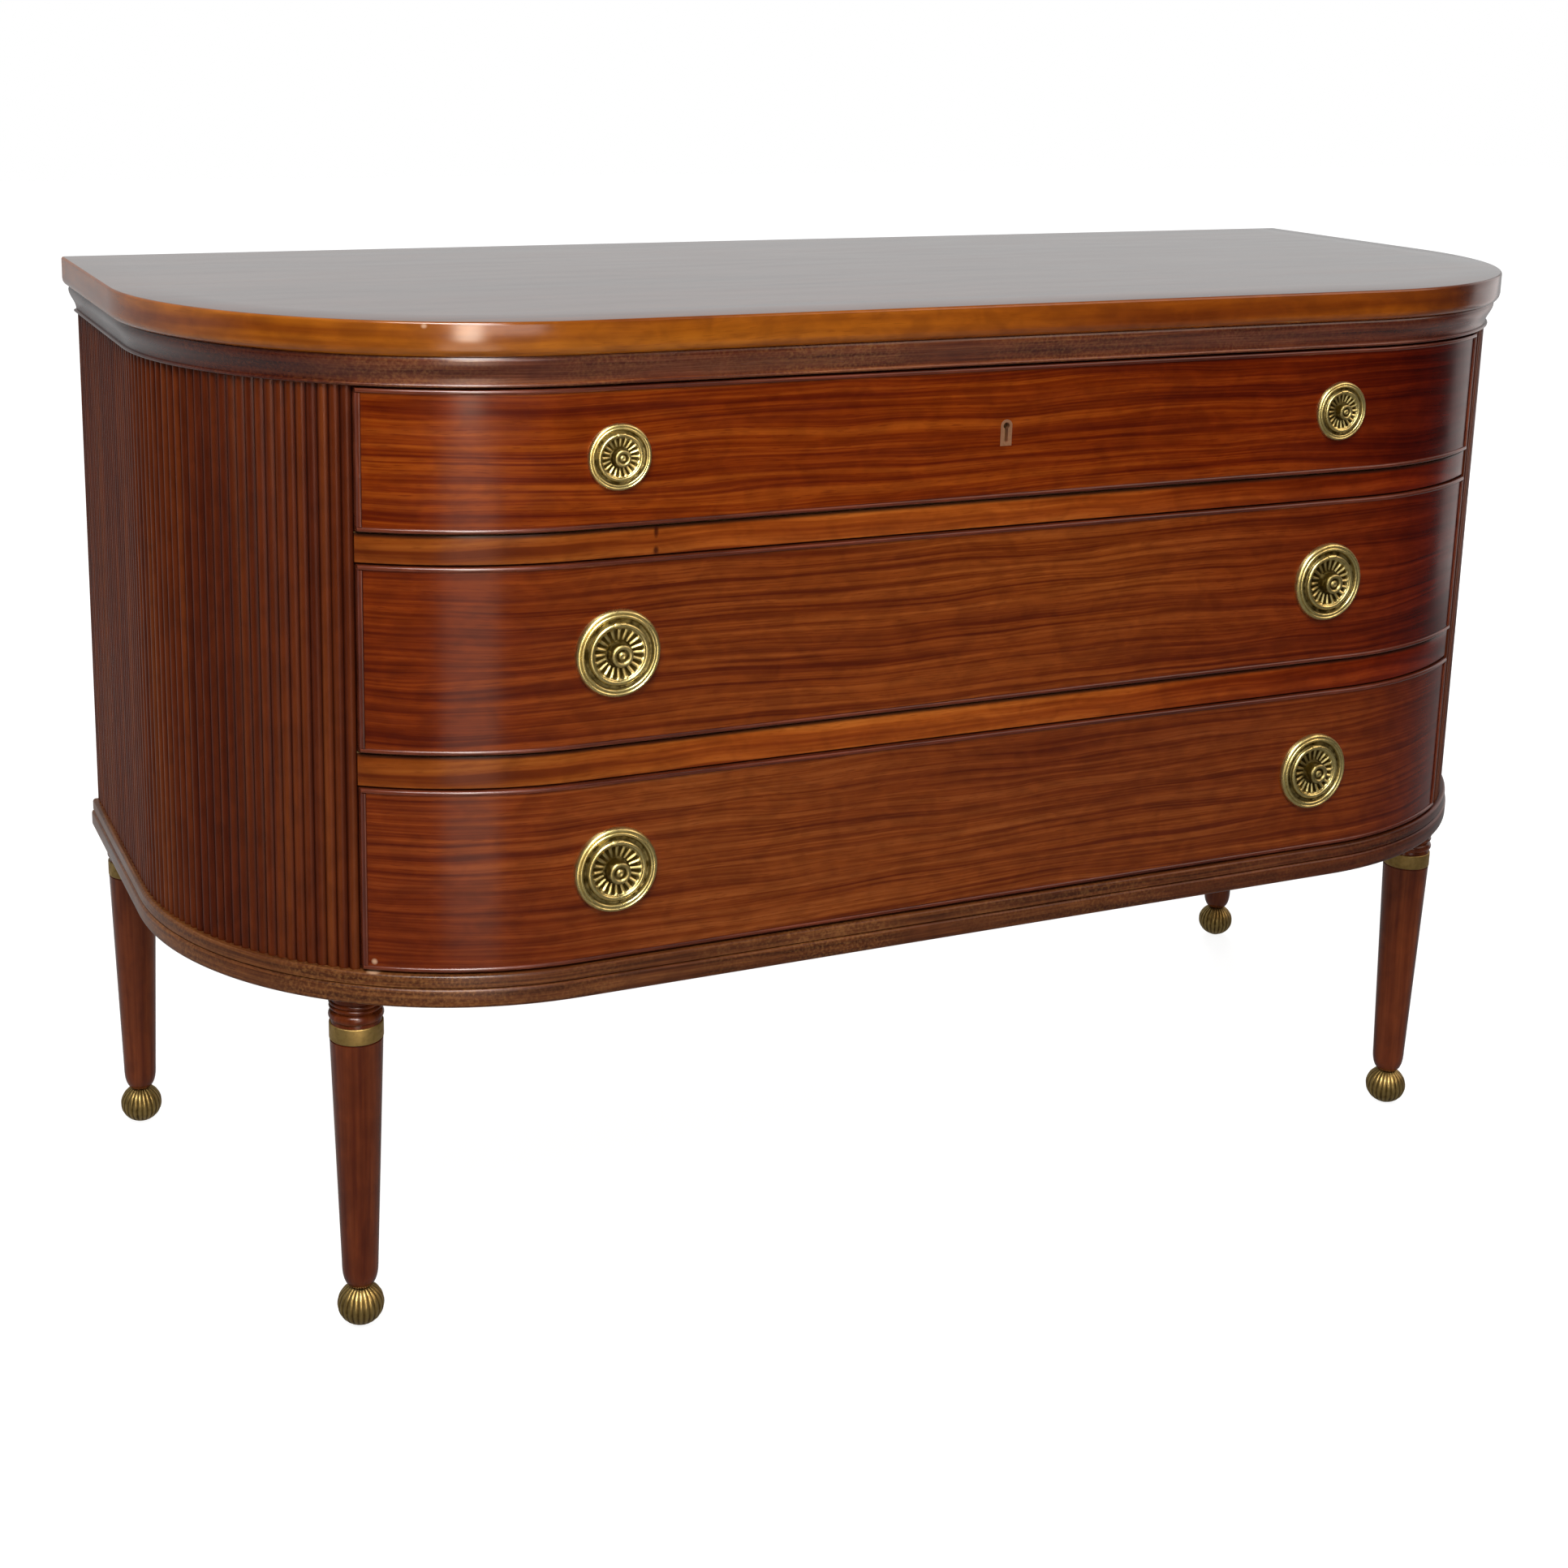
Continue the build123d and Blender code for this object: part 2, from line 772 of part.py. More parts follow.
def make_drawer(name, opening_bottom, opening_height, pull_z, has_lock):
    front_low = opening_bottom + drawer_gap
    front_high = opening_bottom + opening_height - drawer_gap
    side_low = opening_bottom + side_running_gap
    side_high = opening_bottom + opening_height - side_headroom
    panel_low = side_low + panel_rise
    panel_top = panel_low + panel_thickness
    rear_low = drawer_rear - drawer_back_thickness
    tip_y = line_y(-bead_depth, drawer_half) + tail_lap
    root_y = line_y(-front_thickness, drawer_half)
    front_tails = tails(root_y, tip_y, panel_top, side_high)
    rear_tails = tails(rear_low, drawer_rear, panel_top, side_high)

    with BuildPart() as panel:
        with BuildSketch(Plane.XY.offset(panel_low)):
            d_face(groove_depth - front_thickness, rear=drawer_rear)
            window(
                -side_inner - groove_depth, side_inner + groove_depth,
                front_y, drawer_rear, mode=Mode.INTERSECT,
            )
        extrude(amount=panel_thickness)
    save(panel, f"{name}_drawer_bottom")

    with BuildPart() as front:
        with BuildSketch(Plane.XY.offset(front_low)):
            bow(-bead_depth, -front_thickness, drawer_half)
        extrude(amount=front_high - front_low)
        with BuildSketch(Plane.XY.offset(front_low + bead_thickness)):
            bow(0, -bead_depth, drawer_half - bead_thickness)
        extrude(amount=front_high - front_low - 2 * bead_thickness)
        add(front_tails, mode=Mode.SUBTRACT)
        add(panel.part, mode=Mode.SUBTRACT)
        with BuildSketch(face_plane(front_y)):
            with Locations((-pull_x, pull_z), (pull_x, pull_z)):
                Circle(stud_diameter / 2 + stud_clearance)
        extrude(amount=-front_thickness, mode=Mode.SUBTRACT)
        if has_lock:
            lock_block(Mode.SUBTRACT)
            liner_face(front_y, liner_depth, Mode.SUBTRACT)
            keyhole(front_y, front_thickness, Mode.SUBTRACT)
    save(front, f"{name}_drawer_front")

    save(make_beading(front_low, front_high), f"{name}_drawer_beading")

    with BuildPart() as blank:
        with BuildSketch(Plane.XY.offset(panel_top)):
            window(-drawer_half, drawer_half, rear_low, drawer_rear)
        extrude(amount=side_high - panel_top)

    with BuildPart() as sides:
        with BuildSketch(Plane.XY.offset(side_low)):
            d_face(-front_thickness, rear=drawer_rear)
            window(-drawer_half, -side_inner, front_y, drawer_rear, mode=Mode.INTERSECT)
        extrude(amount=side_high - side_low)
        mirror(about=Plane.YZ)
        add(front_tails)
        add(panel.part, mode=Mode.SUBTRACT)
        add(blank.part, mode=Mode.SUBTRACT)
        add(rear_tails)
    save(sides, f"{name}_drawer_sides")

    with BuildPart() as rear_board:
        add(blank.part)
        add(rear_tails, mode=Mode.SUBTRACT)
    save(rear_board, f"{name}_drawer_back")

    with BuildPart() as studs:
        with BuildSketch(face_plane(front_y)):
            with Locations((-pull_x, pull_z), (pull_x, pull_z)):
                Circle(stud_diameter / 2)
        extrude(amount=-front_thickness - nut_thickness)
        with BuildSketch(face_plane(front_y + front_thickness)):
            with Locations((-pull_x, pull_z), (pull_x, pull_z)):
                RegularPolygon(nut_width / 2, 6)
        extrude(amount=-nut_thickness)
    save(studs, f"{name}_pull_studs")


def make_pulls(name, pull_z, plate_diameter, plate_thickness, ring_thickness):
    radius = plate_diameter / 2
    section = ring_thickness / 2
    ring_radius = radius * ring_outer_share - section
    ring_height = plate_thickness + ring_gap + section
    knuckle_half = radius * knuckle_width_share / 2
    pin_radius = section * pin_share
    end_angle = asin((knuckle_half + knuckle_slit) / (ring_radius - section))
    pin_z = pull_z + ring_radius * cos(end_angle)
    ring_end_x = ring_radius * sin(end_angle)
    pin_y = front_y - ring_height
    rim_height = radius * rim_height_share
    rim_inner = radius * rim_inner_share
    rosette = radius * rosette_share
    lip = radius * rosette_lip_share
    boss = radius * boss_share
    boss_dish = radius * boss_dish_share
    boss_height = radius * boss_height_share
    lip_height = plate_thickness + radius * rosette_height_share
    floor_height = radius * floor_height_share

    with BuildPart() as plates:
        plate_plane = Plane(origin=(-pull_x, front_y, pull_z), x_dir=(1, 0, 0), z_dir=(0, 0, -1))
        with BuildSketch(plate_plane):
            with BuildLine():
                Polyline(
                    (radius, 0),
                    (0, 0),
                    (0, boss_height - section / 2),
                    (boss_dish, boss_height - section),
                    (boss_dish, boss_height),
                    (boss - section / 2, boss_height),
                    (boss, boss_height - section / 2),
                    (boss, floor_height),
                    (lip, floor_height),
                    (lip, lip_height),
                    (rosette, lip_height),
                    (rosette, plate_thickness),
                    (rim_inner, plate_thickness),
                    (rim_inner, rim_height - section / 2),
                )
                ThreePointArc(
                    (rim_inner, rim_height - section / 2),
                    ((rim_inner + radius) / 2, rim_height),
                    (radius, plate_thickness),
                )
                Line((radius, plate_thickness), (radius, 0))
            make_face()
        revolve(axis=Axis((-pull_x, front_y, pull_z), (0, -1, 0)))
        with BuildSketch(face_plane(front_y)):
            with Locations((-pull_x, pull_z)):
                with PolarLocations((boss + lip) / 2, rib_count):
                    Rectangle(lip - boss + section, pi * boss / rib_count)
        extrude(amount=lip_height - section / 4)
        with BuildSketch(face_plane(front_y)):
            with Locations((-pull_x, pin_z)):
                Rectangle(2 * knuckle_half, 2 * (section + knuckle_slit))
        extrude(amount=ring_height + section + knuckle_slit)
        with BuildSketch(Plane.YZ.offset(-pull_x - knuckle_half)):
            with Locations((pin_y, pin_z)):
                Circle(pin_radius + pin_clearance)
        extrude(amount=2 * knuckle_half, mode=Mode.SUBTRACT)
        mirror(about=Plane.YZ)
    save(plates, f"{name}_pull_plates")

    with BuildPart() as ring:
        section_origin = (-pull_x, pin_y, pull_z)
        outward = Vector(sin(end_angle), 0, cos(end_angle))
        section_normal = outward.cross(Vector(0, -1, 0))
        with BuildSketch(Plane(origin=section_origin, x_dir=outward, z_dir=section_normal)):
            with Locations((ring_radius, 0)):
                RegularPolygon(section, ring_sides, rotation=180 / ring_sides)
        sweep_angle = 360 - 2 * degrees(end_angle)
        revolve(axis=Axis(section_origin, (0, 1, 0)), revolution_arc=sweep_angle)
        for direction in (-1, 1):
            pin_start = -pull_x + direction * knuckle_half / 2
            pin_end = -pull_x + direction * ring_end_x
            with BuildSketch(Plane.YZ.offset(min(pin_start, pin_end))):
                with Locations((pin_y, pin_z)):
                    Circle(pin_radius)
            extrude(amount=abs(pin_end - pin_start))
    save(ring, f"{name}_pull_ring_left")
    save_mirrored(ring, f"{name}_pull_ring_right")
    print(name, "ring axis y", round(pin_y, 3), "z", round(pin_z, 3))


drawers = {
    "top": (upper_rail_top, top_opening),
    "middle": (lower_rail_top, middle_opening),
    "bottom": (base_top, bottom_opening),
}
for drawer_name, (opening_bottom, opening_height) in drawers.items():
    middle_z = opening_bottom + opening_height / 2
    make_drawer(drawer_name, opening_bottom, opening_height, middle_z, drawer_name == "top")
    if drawer_name == "top":
        make_pulls(
            drawer_name, middle_z, small_plate_diameter, small_plate_thickness, small_ring_thickness
        )
    else:
        make_pulls(
            drawer_name, middle_z, large_plate_diameter, large_plate_thickness, large_ring_thickness
        )


# Lock: a brass liner in the keyhole, and a case whose bolt shoots up into the rail

with BuildPart() as keyhole_liner:
    liner_face(front_y - liner_proud, liner_depth + liner_proud, Mode.ADD)
    keyhole(front_y - liner_proud, liner_depth + liner_proud, Mode.SUBTRACT)
save(keyhole_liner, "keyhole_liner")

with BuildPart() as lock_case:
    lock_block(Mode.ADD)
    with BuildSketch(Plane.XY.offset(bolt_top - bolt_length - bolt_clearance)):
        with Locations((0, bolt_y)):
            Rectangle(bolt_width + 2 * bolt_clearance, bolt_thickness + 2 * bolt_clearance)
    extrude(amount=lock_depth, mode=Mode.SUBTRACT)
    keyhole(lock_front, bolt_y - lock_front, Mode.SUBTRACT)
save(lock_case, "lock_case")

with BuildPart() as lock_bolt:
    with BuildSketch(Plane.XY.offset(bolt_top - bolt_length)):
        with Locations((0, bolt_y)):
            Rectangle(bolt_width, bolt_thickness)
    extrude(amount=bolt_length)
save(lock_bolt, "lock_bolt")
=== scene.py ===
import json
import math
import bmesh
import bpy
from mathutils import Matrix, Vector


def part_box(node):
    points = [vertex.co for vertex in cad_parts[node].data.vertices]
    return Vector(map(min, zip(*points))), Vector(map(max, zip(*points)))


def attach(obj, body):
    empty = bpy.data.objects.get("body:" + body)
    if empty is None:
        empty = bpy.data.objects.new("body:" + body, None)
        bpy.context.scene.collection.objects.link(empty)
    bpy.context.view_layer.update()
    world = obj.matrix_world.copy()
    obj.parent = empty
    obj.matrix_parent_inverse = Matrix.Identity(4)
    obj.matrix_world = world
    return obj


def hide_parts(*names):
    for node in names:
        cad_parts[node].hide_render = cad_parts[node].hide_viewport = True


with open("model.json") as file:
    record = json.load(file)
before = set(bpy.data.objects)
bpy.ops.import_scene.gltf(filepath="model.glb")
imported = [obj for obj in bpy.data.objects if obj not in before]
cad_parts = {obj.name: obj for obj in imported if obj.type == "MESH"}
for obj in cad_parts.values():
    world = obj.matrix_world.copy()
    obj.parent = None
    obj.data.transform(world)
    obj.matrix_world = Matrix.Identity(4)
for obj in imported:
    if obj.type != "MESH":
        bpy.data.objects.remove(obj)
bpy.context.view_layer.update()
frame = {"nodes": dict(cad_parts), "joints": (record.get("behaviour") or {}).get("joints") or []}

# Mahogany chest of drawers with a D-shaped plan, in metres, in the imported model's frame.
# The carcase, the drawers' boxes and the lock with its brass liner are the model's own
# solids with better materials. The top, veneers, mouldings, reeds, cockbeads, legs, pulls
# and feet are made here.

MM = 0.001


# Names of what comes more than once, and lines read from the frame

def span(node, axis):
    """A node's lowest and highest place along an axis: 0 for X, 1 for Y, 2 for Z."""
    low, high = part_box(node)
    return low[axis], high[axis]


drawers = ("top", "middle", "bottom")
leg_corners = ("front_left", "front_right", "back_left", "back_right")
body_half = -span("reeding_left", 0)[0]
back_y = span("top_slab", 1)[1]
front_y = span("top_drawer_front", 1)[0]
overhang = span("top_slab", 0)[1] - body_half
slab_low, slab_high = span("top_slab", 2)
cornice_low, cornice_high = span("cornice_front", 2)
base_low, base_high = span("base_moulding_front", 2)
rail_tops = [span(name, 2)[1] for name in ("lower_rail", "upper_rail")]
drawer_half = span("top_drawer_front", 0)[1]
drawer_gap = 1 * MM
opening_half = drawer_half + drawer_gap

# The plan's rounded corners
corner_radius = 269 * MM
corner_x = body_half - corner_radius
corner_y = front_y + corner_radius

# Sizes of the veneers, cockbeads, facings and reeds
veneer_proud = 0.3 * MM
veneer_depth = 1.2 * MM
rail_recess = 1.5 * MM
bead_thickness = 3.5 * MM
bead_depth = 7 * MM
bead_proud = 1.8 * MM
facing = 6 * MM
reed_pitch = 8.7 * MM
reed_depth = 2.6 * MM

# Steps along the plan and round a section's corners
corner_steps = 40
tangent_share = 0.01
round_steps = 4
merge_distance = 0.005 * MM


# Meshes

def placed(name, data):
    """A new object in the scene that holds a mesh, a path, a lamp or a camera."""
    made = bpy.data.objects.new(name, data)
    bpy.context.scene.collection.objects.link(made)
    return made


def rounded(points, radii):
    """The outline through points, with each corner rounded by its radius, or left sharp at 0."""
    outline = []
    count = len(points)
    for index, (point, radius) in enumerate(zip(points, radii)):
        corner = Vector(point)
        if radius == 0:
            outline.append(corner)
            continue
        before = (Vector(points[index - 1]) - corner).normalized()
        after = (Vector(points[(index + 1) % count]) - corner).normalized()
        half_angle = before.angle(after) / 2
        reach = radius / math.tan(half_angle)
        centre = corner + (before + after).normalized() * radius / math.sin(half_angle)
        first = corner + before * reach - centre
        last = corner + after * reach - centre
        turn = first.angle_signed(last)
        for step in range(round_steps + 1):
            arm = first.copy()
            arm.rotate(Matrix.Rotation(-turn * step / round_steps, 2))
            outline.append(centre + arm)
    return outline


def arc(centre, radius, start, end, steps):
    """Points round an arc, its angles in degrees."""
    angles = [math.radians(start + (end - start) * step / steps) for step in range(steps + 1)]
    return [Vector((centre[0] + radius * math.cos(angle), centre[1] + radius * math.sin(angle)))
            for angle in angles]


def corner_turn(radius, x_limit):
    """The angle that a line turns through round a corner, up to x_limit where there is one."""
    return math.pi / 2 if x_limit is None else math.asin((x_limit - corner_x) / radius)


def plan_point(t, reach, x_limit):
    """A point of the D plan. t runs -3 to 3: 1 to 2 is a corner, 2 to 3 a side."""
    side = -1 if t < 0 else 1
    along = abs(t)
    if along <= 1:
        return Vector((t * corner_x, front_y - reach))
    if along <= 2:
        radius = corner_radius + reach
        angle = corner_turn(radius, x_limit) * (along - 1)
        return Vector((side * (corner_x + radius * math.sin(angle)),
                       corner_y - radius * math.cos(angle)))
    return Vector((side * (body_half + reach), corner_y + (along - 2) * (back_y - corner_y)))


def plan_length(t, x_limit):
    """The way along the body line from the middle of the front to t."""
    along = abs(t)
    length = min(along, 1) * corner_x
    length += corner_turn(corner_radius, x_limit) * corner_radius * min(max(along - 1, 0), 1)
    length += (back_y - corner_y) * max(along - 2, 0)
    return math.copysign(length, t)


def stations(last):
    """Places along the plan for a sweep from -last to last, close together round the corners."""
    half = [0, 1 - tangent_share]
    half += [1 + step / corner_steps for step in range(corner_steps + 1)]
    if last == 3:
        half += [2 + tangent_share, 3]
    return [-t for t in reversed(half[1:])] + half


def edited(mesh, *changes):
    """Runs changes on a mesh's vertices and faces, and gives it back."""
    built = bmesh.new()
    built.from_mesh(mesh)
    for change in changes:
        change(built)
    built.to_mesh(mesh)
    built.free()
    return mesh


def merged(built):
    bmesh.ops.remove_doubles(built, verts=built.verts, dist=merge_distance)


def faced_outwards(built):
    bmesh.ops.recalc_face_normals(built, faces=built.faces)


def wide_faces_split(built):
    bmesh.ops.triangulate(built, faces=[face for face in built.faces if len(face.verts) > 4])


def finish_piece(mesh, name, material, body, replaces=(), sharp_angle=32):
    """Puts a finished mesh in the scene as a piece that rides on a body."""
    edited(mesh, merged, faced_outwards)
    mesh.shade_smooth()
    mesh.set_sharp_from_angle(angle=math.radians(sharp_angle))
    mesh.materials.clear()
    mesh.materials.append(material)
    mesh.name = name
    piece = placed(name, mesh)
    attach(piece, body)
    if replaces:
        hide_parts(*replaces)
    return piece


def mesh_from(vertices, faces, uvs=None):
    """A mesh, with a UV map where each face's corners have places on it."""
    mesh = bpy.data.meshes.new("piece")
    mesh.from_pydata(vertices, [], faces)
    if uvs:
        layer = mesh.uv_layers.new(name="UVMap")
        for loop, uv in zip(layer.data, [uv for face in uvs for uv in face]):
            loop.uv = uv
    return mesh


def skin(rings):
    """Vertices and faces of a skin over closed rings of points. Its two end caps come last."""
    count = len(rings[0])
    vertices = [point for ring in rings for point in ring]
    faces = []
    for near in range(0, len(vertices) - count, count):
        for index in range(count):
            after = (index + 1) % count
            faces.append((near + index, near + after, near + count + after, near + count + index))
    faces += [list(range(count)), list(range(len(vertices) - count, len(vertices)))]
    return vertices, faces


def swept_skin(section, last=3, x_limit=None):
    """Vertices, faces and UVs of a section of (reach, height) points taken along the plan."""
    places = stations(last)
    vertices, faces = skin([[(*plan_point(t, reach, x_limit), height) for reach, height in section]
                            for t in places])
    along = [plan_length(t, x_limit) for t in places]
    around = [0]
    for point, after in zip(section, section[1:] + section[:1]):
        around.append(around[-1] + (after - point).length)
    uvs = [((near, low), (near, high), (far, high), (far, low))
           for near, far in zip(along, along[1:]) for low, high in zip(around, around[1:])]
    return vertices, faces, uvs + [[tuple(point) for point in section]] * 2


def sweep(section, last=3, x_limit=None):
    return mesh_from(*swept_skin(section, last, x_limit))


def lathe(profile, sides, centre, turn=Matrix.Identity(4)):
    """A profile of (radius, height) points turned about an upright axis through centre."""
    angles = [2 * math.pi * side / sides for side in range(sides)]
    mesh = mesh_from(*skin([[(radius * math.cos(angle), radius * math.sin(angle), height)
                             for angle in angles] for radius, height in profile]))
    mesh.transform(turn)
    mesh.transform(Matrix.Translation(centre))
    return mesh


def joined(meshes):
    """One mesh of several."""
    built = bmesh.new()
    for mesh in meshes:
        built.from_mesh(mesh)
    result = bpy.data.meshes.new("joined")
    built.to_mesh(result)
    built.free()
    return result


# Nodes, for geometry and for materials

def feed(tree, made, inputs):
    """Gives a node's sockets, by name or number, a value or another node's output."""
    for key, value in inputs.items():
        socket = made.inputs[key]
        if isinstance(value, bpy.types.NodeSocket):
            tree.links.new(value, socket)
        else:
            socket.default_value = value
    return made


def node(tree, kind, inputs=None, **settings):
    """Adds a node with its settings and inputs."""
    made = tree.nodes.new(kind)
    for setting, value in settings.items():
        setattr(made, setting, value)
    return feed(tree, made, inputs or {})


def calculated(tree, operation, first, second=0.0, clamp=False):
    return node(tree, "ShaderNodeMath", {0: first, 1: second},
                operation=operation, use_clamp=clamp).outputs[0]


def times(tree, first, second):
    return calculated(tree, "MULTIPLY", first, second)


def vector_math(tree, operation, first, second=(0, 0, 0), output=0):
    return node(tree, "ShaderNodeVectorMath", {0: first, 1: second},
                operation=operation).outputs[output]


def split_up(tree, vector):
    """A vector's three numbers, by the names X, Y and Z."""
    return node(tree, "ShaderNodeSeparateXYZ", {0: vector}).outputs


# Geometry Nodes

def nodes_tree(name, inputs):
    """A node tree with a geometry in and out, a material and a socket for each named input."""
    tree = bpy.data.node_groups.new(name, "GeometryNodeTree")
    tree.interface.new_socket("Geometry", in_out="OUTPUT", socket_type="NodeSocketGeometry")
    sockets = {"Geometry": "Geometry", **inputs, "Material": "Material"}
    for label, kind in sockets.items():
        tree.interface.new_socket(label, in_out="INPUT", socket_type=f"NodeSocket{kind}")
    return tree, node(tree, "NodeGroupInput").outputs


def end_tree(tree, geometry, material):
    """The last steps of a tree: instances made real, and their material."""
    real = node(tree, "GeometryNodeRealizeInstances", {"Geometry": geometry})
    clad = node(tree, "GeometryNodeSetMaterial", {
        "Geometry": real.outputs["Geometry"], "Material": material,
    })
    node(tree, "NodeGroupOutput", {"Geometry": clad.outputs["Geometry"]})
    return tree


def run_nodes(mesh, tree, values):
    """The mesh that a Geometry Nodes tree makes from a mesh, with its named inputs set."""
    holder = placed("holder", mesh)
    modifier = holder.modifiers.new("nodes", "NODES")
    modifier.node_group = tree
    for item in tree.interface.items_tree:
        if item.in_out == "INPUT" and item.name in values:
            modifier[item.identifier] = values[item.name]
    graph = bpy.context.evaluated_depsgraph_get()
    result = bpy.data.meshes.new_from_object(holder.evaluated_get(graph))
    holder.modifiers.clear()
    bpy.data.objects.remove(holder)
    return result


def reed_tree():
    """Reeds set side by side along a path, each with a tint of its own."""
    tree, ways = nodes_tree("reeds along a path", {"Path": "Object", "Reeds": "Int", "Seed": "Int"})
    path = node(tree, "GeometryNodeObjectInfo", {"Object": ways["Path"]})
    points = node(tree, "GeometryNodeCurveToPoints", {
        "Curve": path.outputs["Geometry"], "Count": ways["Reeds"],
    })
    turn = node(tree, "FunctionNodeAlignRotationToVector", {"Vector": points.outputs["Tangent"]},
                axis="X", pivot_axis="Z")
    reeds = node(tree, "GeometryNodeInstanceOnPoints", {
        "Points": points.outputs["Points"], "Instance": ways["Geometry"],
        "Rotation": turn.outputs["Rotation"],
    })
    index = node(tree, "GeometryNodeInputIndex")
    chance = node(tree, "FunctionNodeRandomValue", {"ID": index.outputs[0], "Seed": ways["Seed"]})
    tinted = node(tree, "GeometryNodeStoreNamedAttribute", {
        "Geometry": reeds.outputs["Instances"], "Name": "tint", "Value": chance.outputs[1],
    }, data_type="FLOAT", domain="INSTANCE")
    return end_tree(tree, tinted.outputs["Geometry"], ways["Material"])


def rosette_tree():
    """Ribs set round the centre of each of two pulls, about axes that run front to back."""
    tree, ways = nodes_tree("ribs round two pulls",
                            {"Ribs": "Int", "Left": "Vector", "Right": "Vector"})
    index = node(tree, "GeometryNodeInputIndex").outputs[0]
    line = node(tree, "GeometryNodeMeshLine", {"Count": ways["Ribs"], "Offset": (0, 0, 0)})
    angle = times(tree, calculated(tree, "DIVIDE", index, ways["Ribs"]), 2 * math.pi)
    turn = node(tree, "FunctionNodeAxisAngleToRotation", {"Axis": (0, 1, 0), "Angle": angle})
    ribs = node(tree, "GeometryNodeInstanceOnPoints", {
        "Points": line.outputs["Mesh"], "Instance": ways["Geometry"],
        "Rotation": turn.outputs["Rotation"],
    })
    both = node(tree, "GeometryNodeJoinGeometry")
    for side in ("Left", "Right"):
        moved = node(tree, "GeometryNodeTransform", {
            "Geometry": ribs.outputs["Instances"], "Translation": ways[side],
        })
        feed(tree, both, {"Geometry": moved.outputs["Geometry"]})
    return end_tree(tree, both.outputs["Geometry"], ways["Material"])


def gadroon_tree():
    """Lobes round an upright axis: the surface sinks between them, and their grooves are marked."""
    tree, ways = nodes_tree("lobes round a ball",
                            {"Lobes": "Int", "Depth": "Float", "Foot": "Float", "Fade": "Float"})
    place = split_up(tree, node(tree, "GeometryNodeInputPosition").outputs[0])
    angle = calculated(tree, "ARCTAN2", place["Y"], place["X"])
    half_phase = times(tree, times(tree, angle, ways["Lobes"]), 0.5)
    lobe = calculated(tree, "ABSOLUTE", calculated(tree, "COSINE", half_phase))
    height = calculated(tree, "SUBTRACT", place["Z"], ways["Foot"])
    rise = calculated(tree, "DIVIDE", height, ways["Fade"], clamp=True)
    cut = times(tree, calculated(tree, "SUBTRACT", 1.0, lobe), rise)
    marked = node(tree, "GeometryNodeStoreNamedAttribute", {
        "Geometry": ways["Geometry"], "Name": "grime", "Value": cut,
    }, data_type="FLOAT", domain="POINT")
    level = node(tree, "ShaderNodeCombineXYZ", {"X": place["X"], "Y": place["Y"]})
    sunk = node(tree, "ShaderNodeVectorMath", {
        0: vector_math(tree, "NORMALIZE", level.outputs[0]),
        "Scale": times(tree, times(tree, cut, ways["Depth"]), -1.0),
    }, operation="SCALE")
    lobed = node(tree, "GeometryNodeSetPosition", {
        "Geometry": marked.outputs["Geometry"], "Offset": sunk.outputs[0],
    })
    return end_tree(tree, lobed.outputs["Geometry"], ways["Material"])


# Materials

white = (1, 1, 1, 1)
coat_roughness = 0.08
broad_share, fine_share = 0.62, 0.38
mottle = 0.45

# Length along the grain and width across it of what a wood's surface has
ripple_size = (22 * MM, 14 * MM)
patch_size = (1 / 1.6, 1 / 7)
pore_size = (14 * MM, 0.9 * MM)
wear_size = (1 / 9, 1 / 60)


def shade(red, green, blue):
    """A colour given as it looks on a screen, 0 to 255, turned into the shader's own units."""
    def linear(value):
        value /= 255
        return value / 12.92 if value <= 0.04045 else ((value + 0.055) / 1.055) ** 2.4
    return (linear(red), linear(green), linear(blue), 1.0)


def cleared(owner):
    """The emptied node tree of a material or a world."""
    owner.use_nodes = True
    owner.node_tree.nodes.clear()
    return owner.node_tree


def new_material(name):
    material = bpy.data.materials.new(name)
    tree = cleared(material)
    shader = node(tree, "ShaderNodeBsdfPrincipled")
    node(tree, "ShaderNodeOutputMaterial", {"Surface": shader.outputs[0]})
    return material, tree, shader


def coordinates(tree, kind):
    """Texture coordinates of a kind, Object or UV, or a world's Generated."""
    return node(tree, "ShaderNodeTexCoord").outputs[kind]


def attribute(tree, name):
    return node(tree, "ShaderNodeAttribute", attribute_name=name).outputs["Fac"]


def noise(tree, vector, scale, detail, distortion=0.0):
    return node(tree, "ShaderNodeTexNoise", {
        "Vector": vector, "Scale": scale, "Detail": detail, "Distortion": distortion,
    }).outputs[0]


def ramp(tree, factor, *stops):
    """A colour ramp from (place, colour) pairs."""
    made = node(tree, "ShaderNodeValToRGB", {"Fac": factor})
    points = made.color_ramp.elements
    while len(points) < len(stops):
        points.new(0.5)
    for point, (place, colour) in zip(points, stops):
        point.position = place
        point.color = colour
    return made.outputs[0]


def mixed(tree, factor, first, second, blend="MIX"):
    return node(tree, "ShaderNodeMix", {0: factor, 6: first, 7: second},
                data_type="RGBA", blend_type=blend).outputs[2]


def mapped(tree, value, low, high, new_low=0.0, new_high=1.0):
    return node(tree, "ShaderNodeMapRange", {
        0: value, 1: low, 2: high, 3: new_low, 4: new_high,
    }).outputs[0]


def bumped(tree, height, strength, distance):
    return node(tree, "ShaderNodeBump", {
        "Height": height, "Strength": strength, "Distance": distance,
    }).outputs[0]


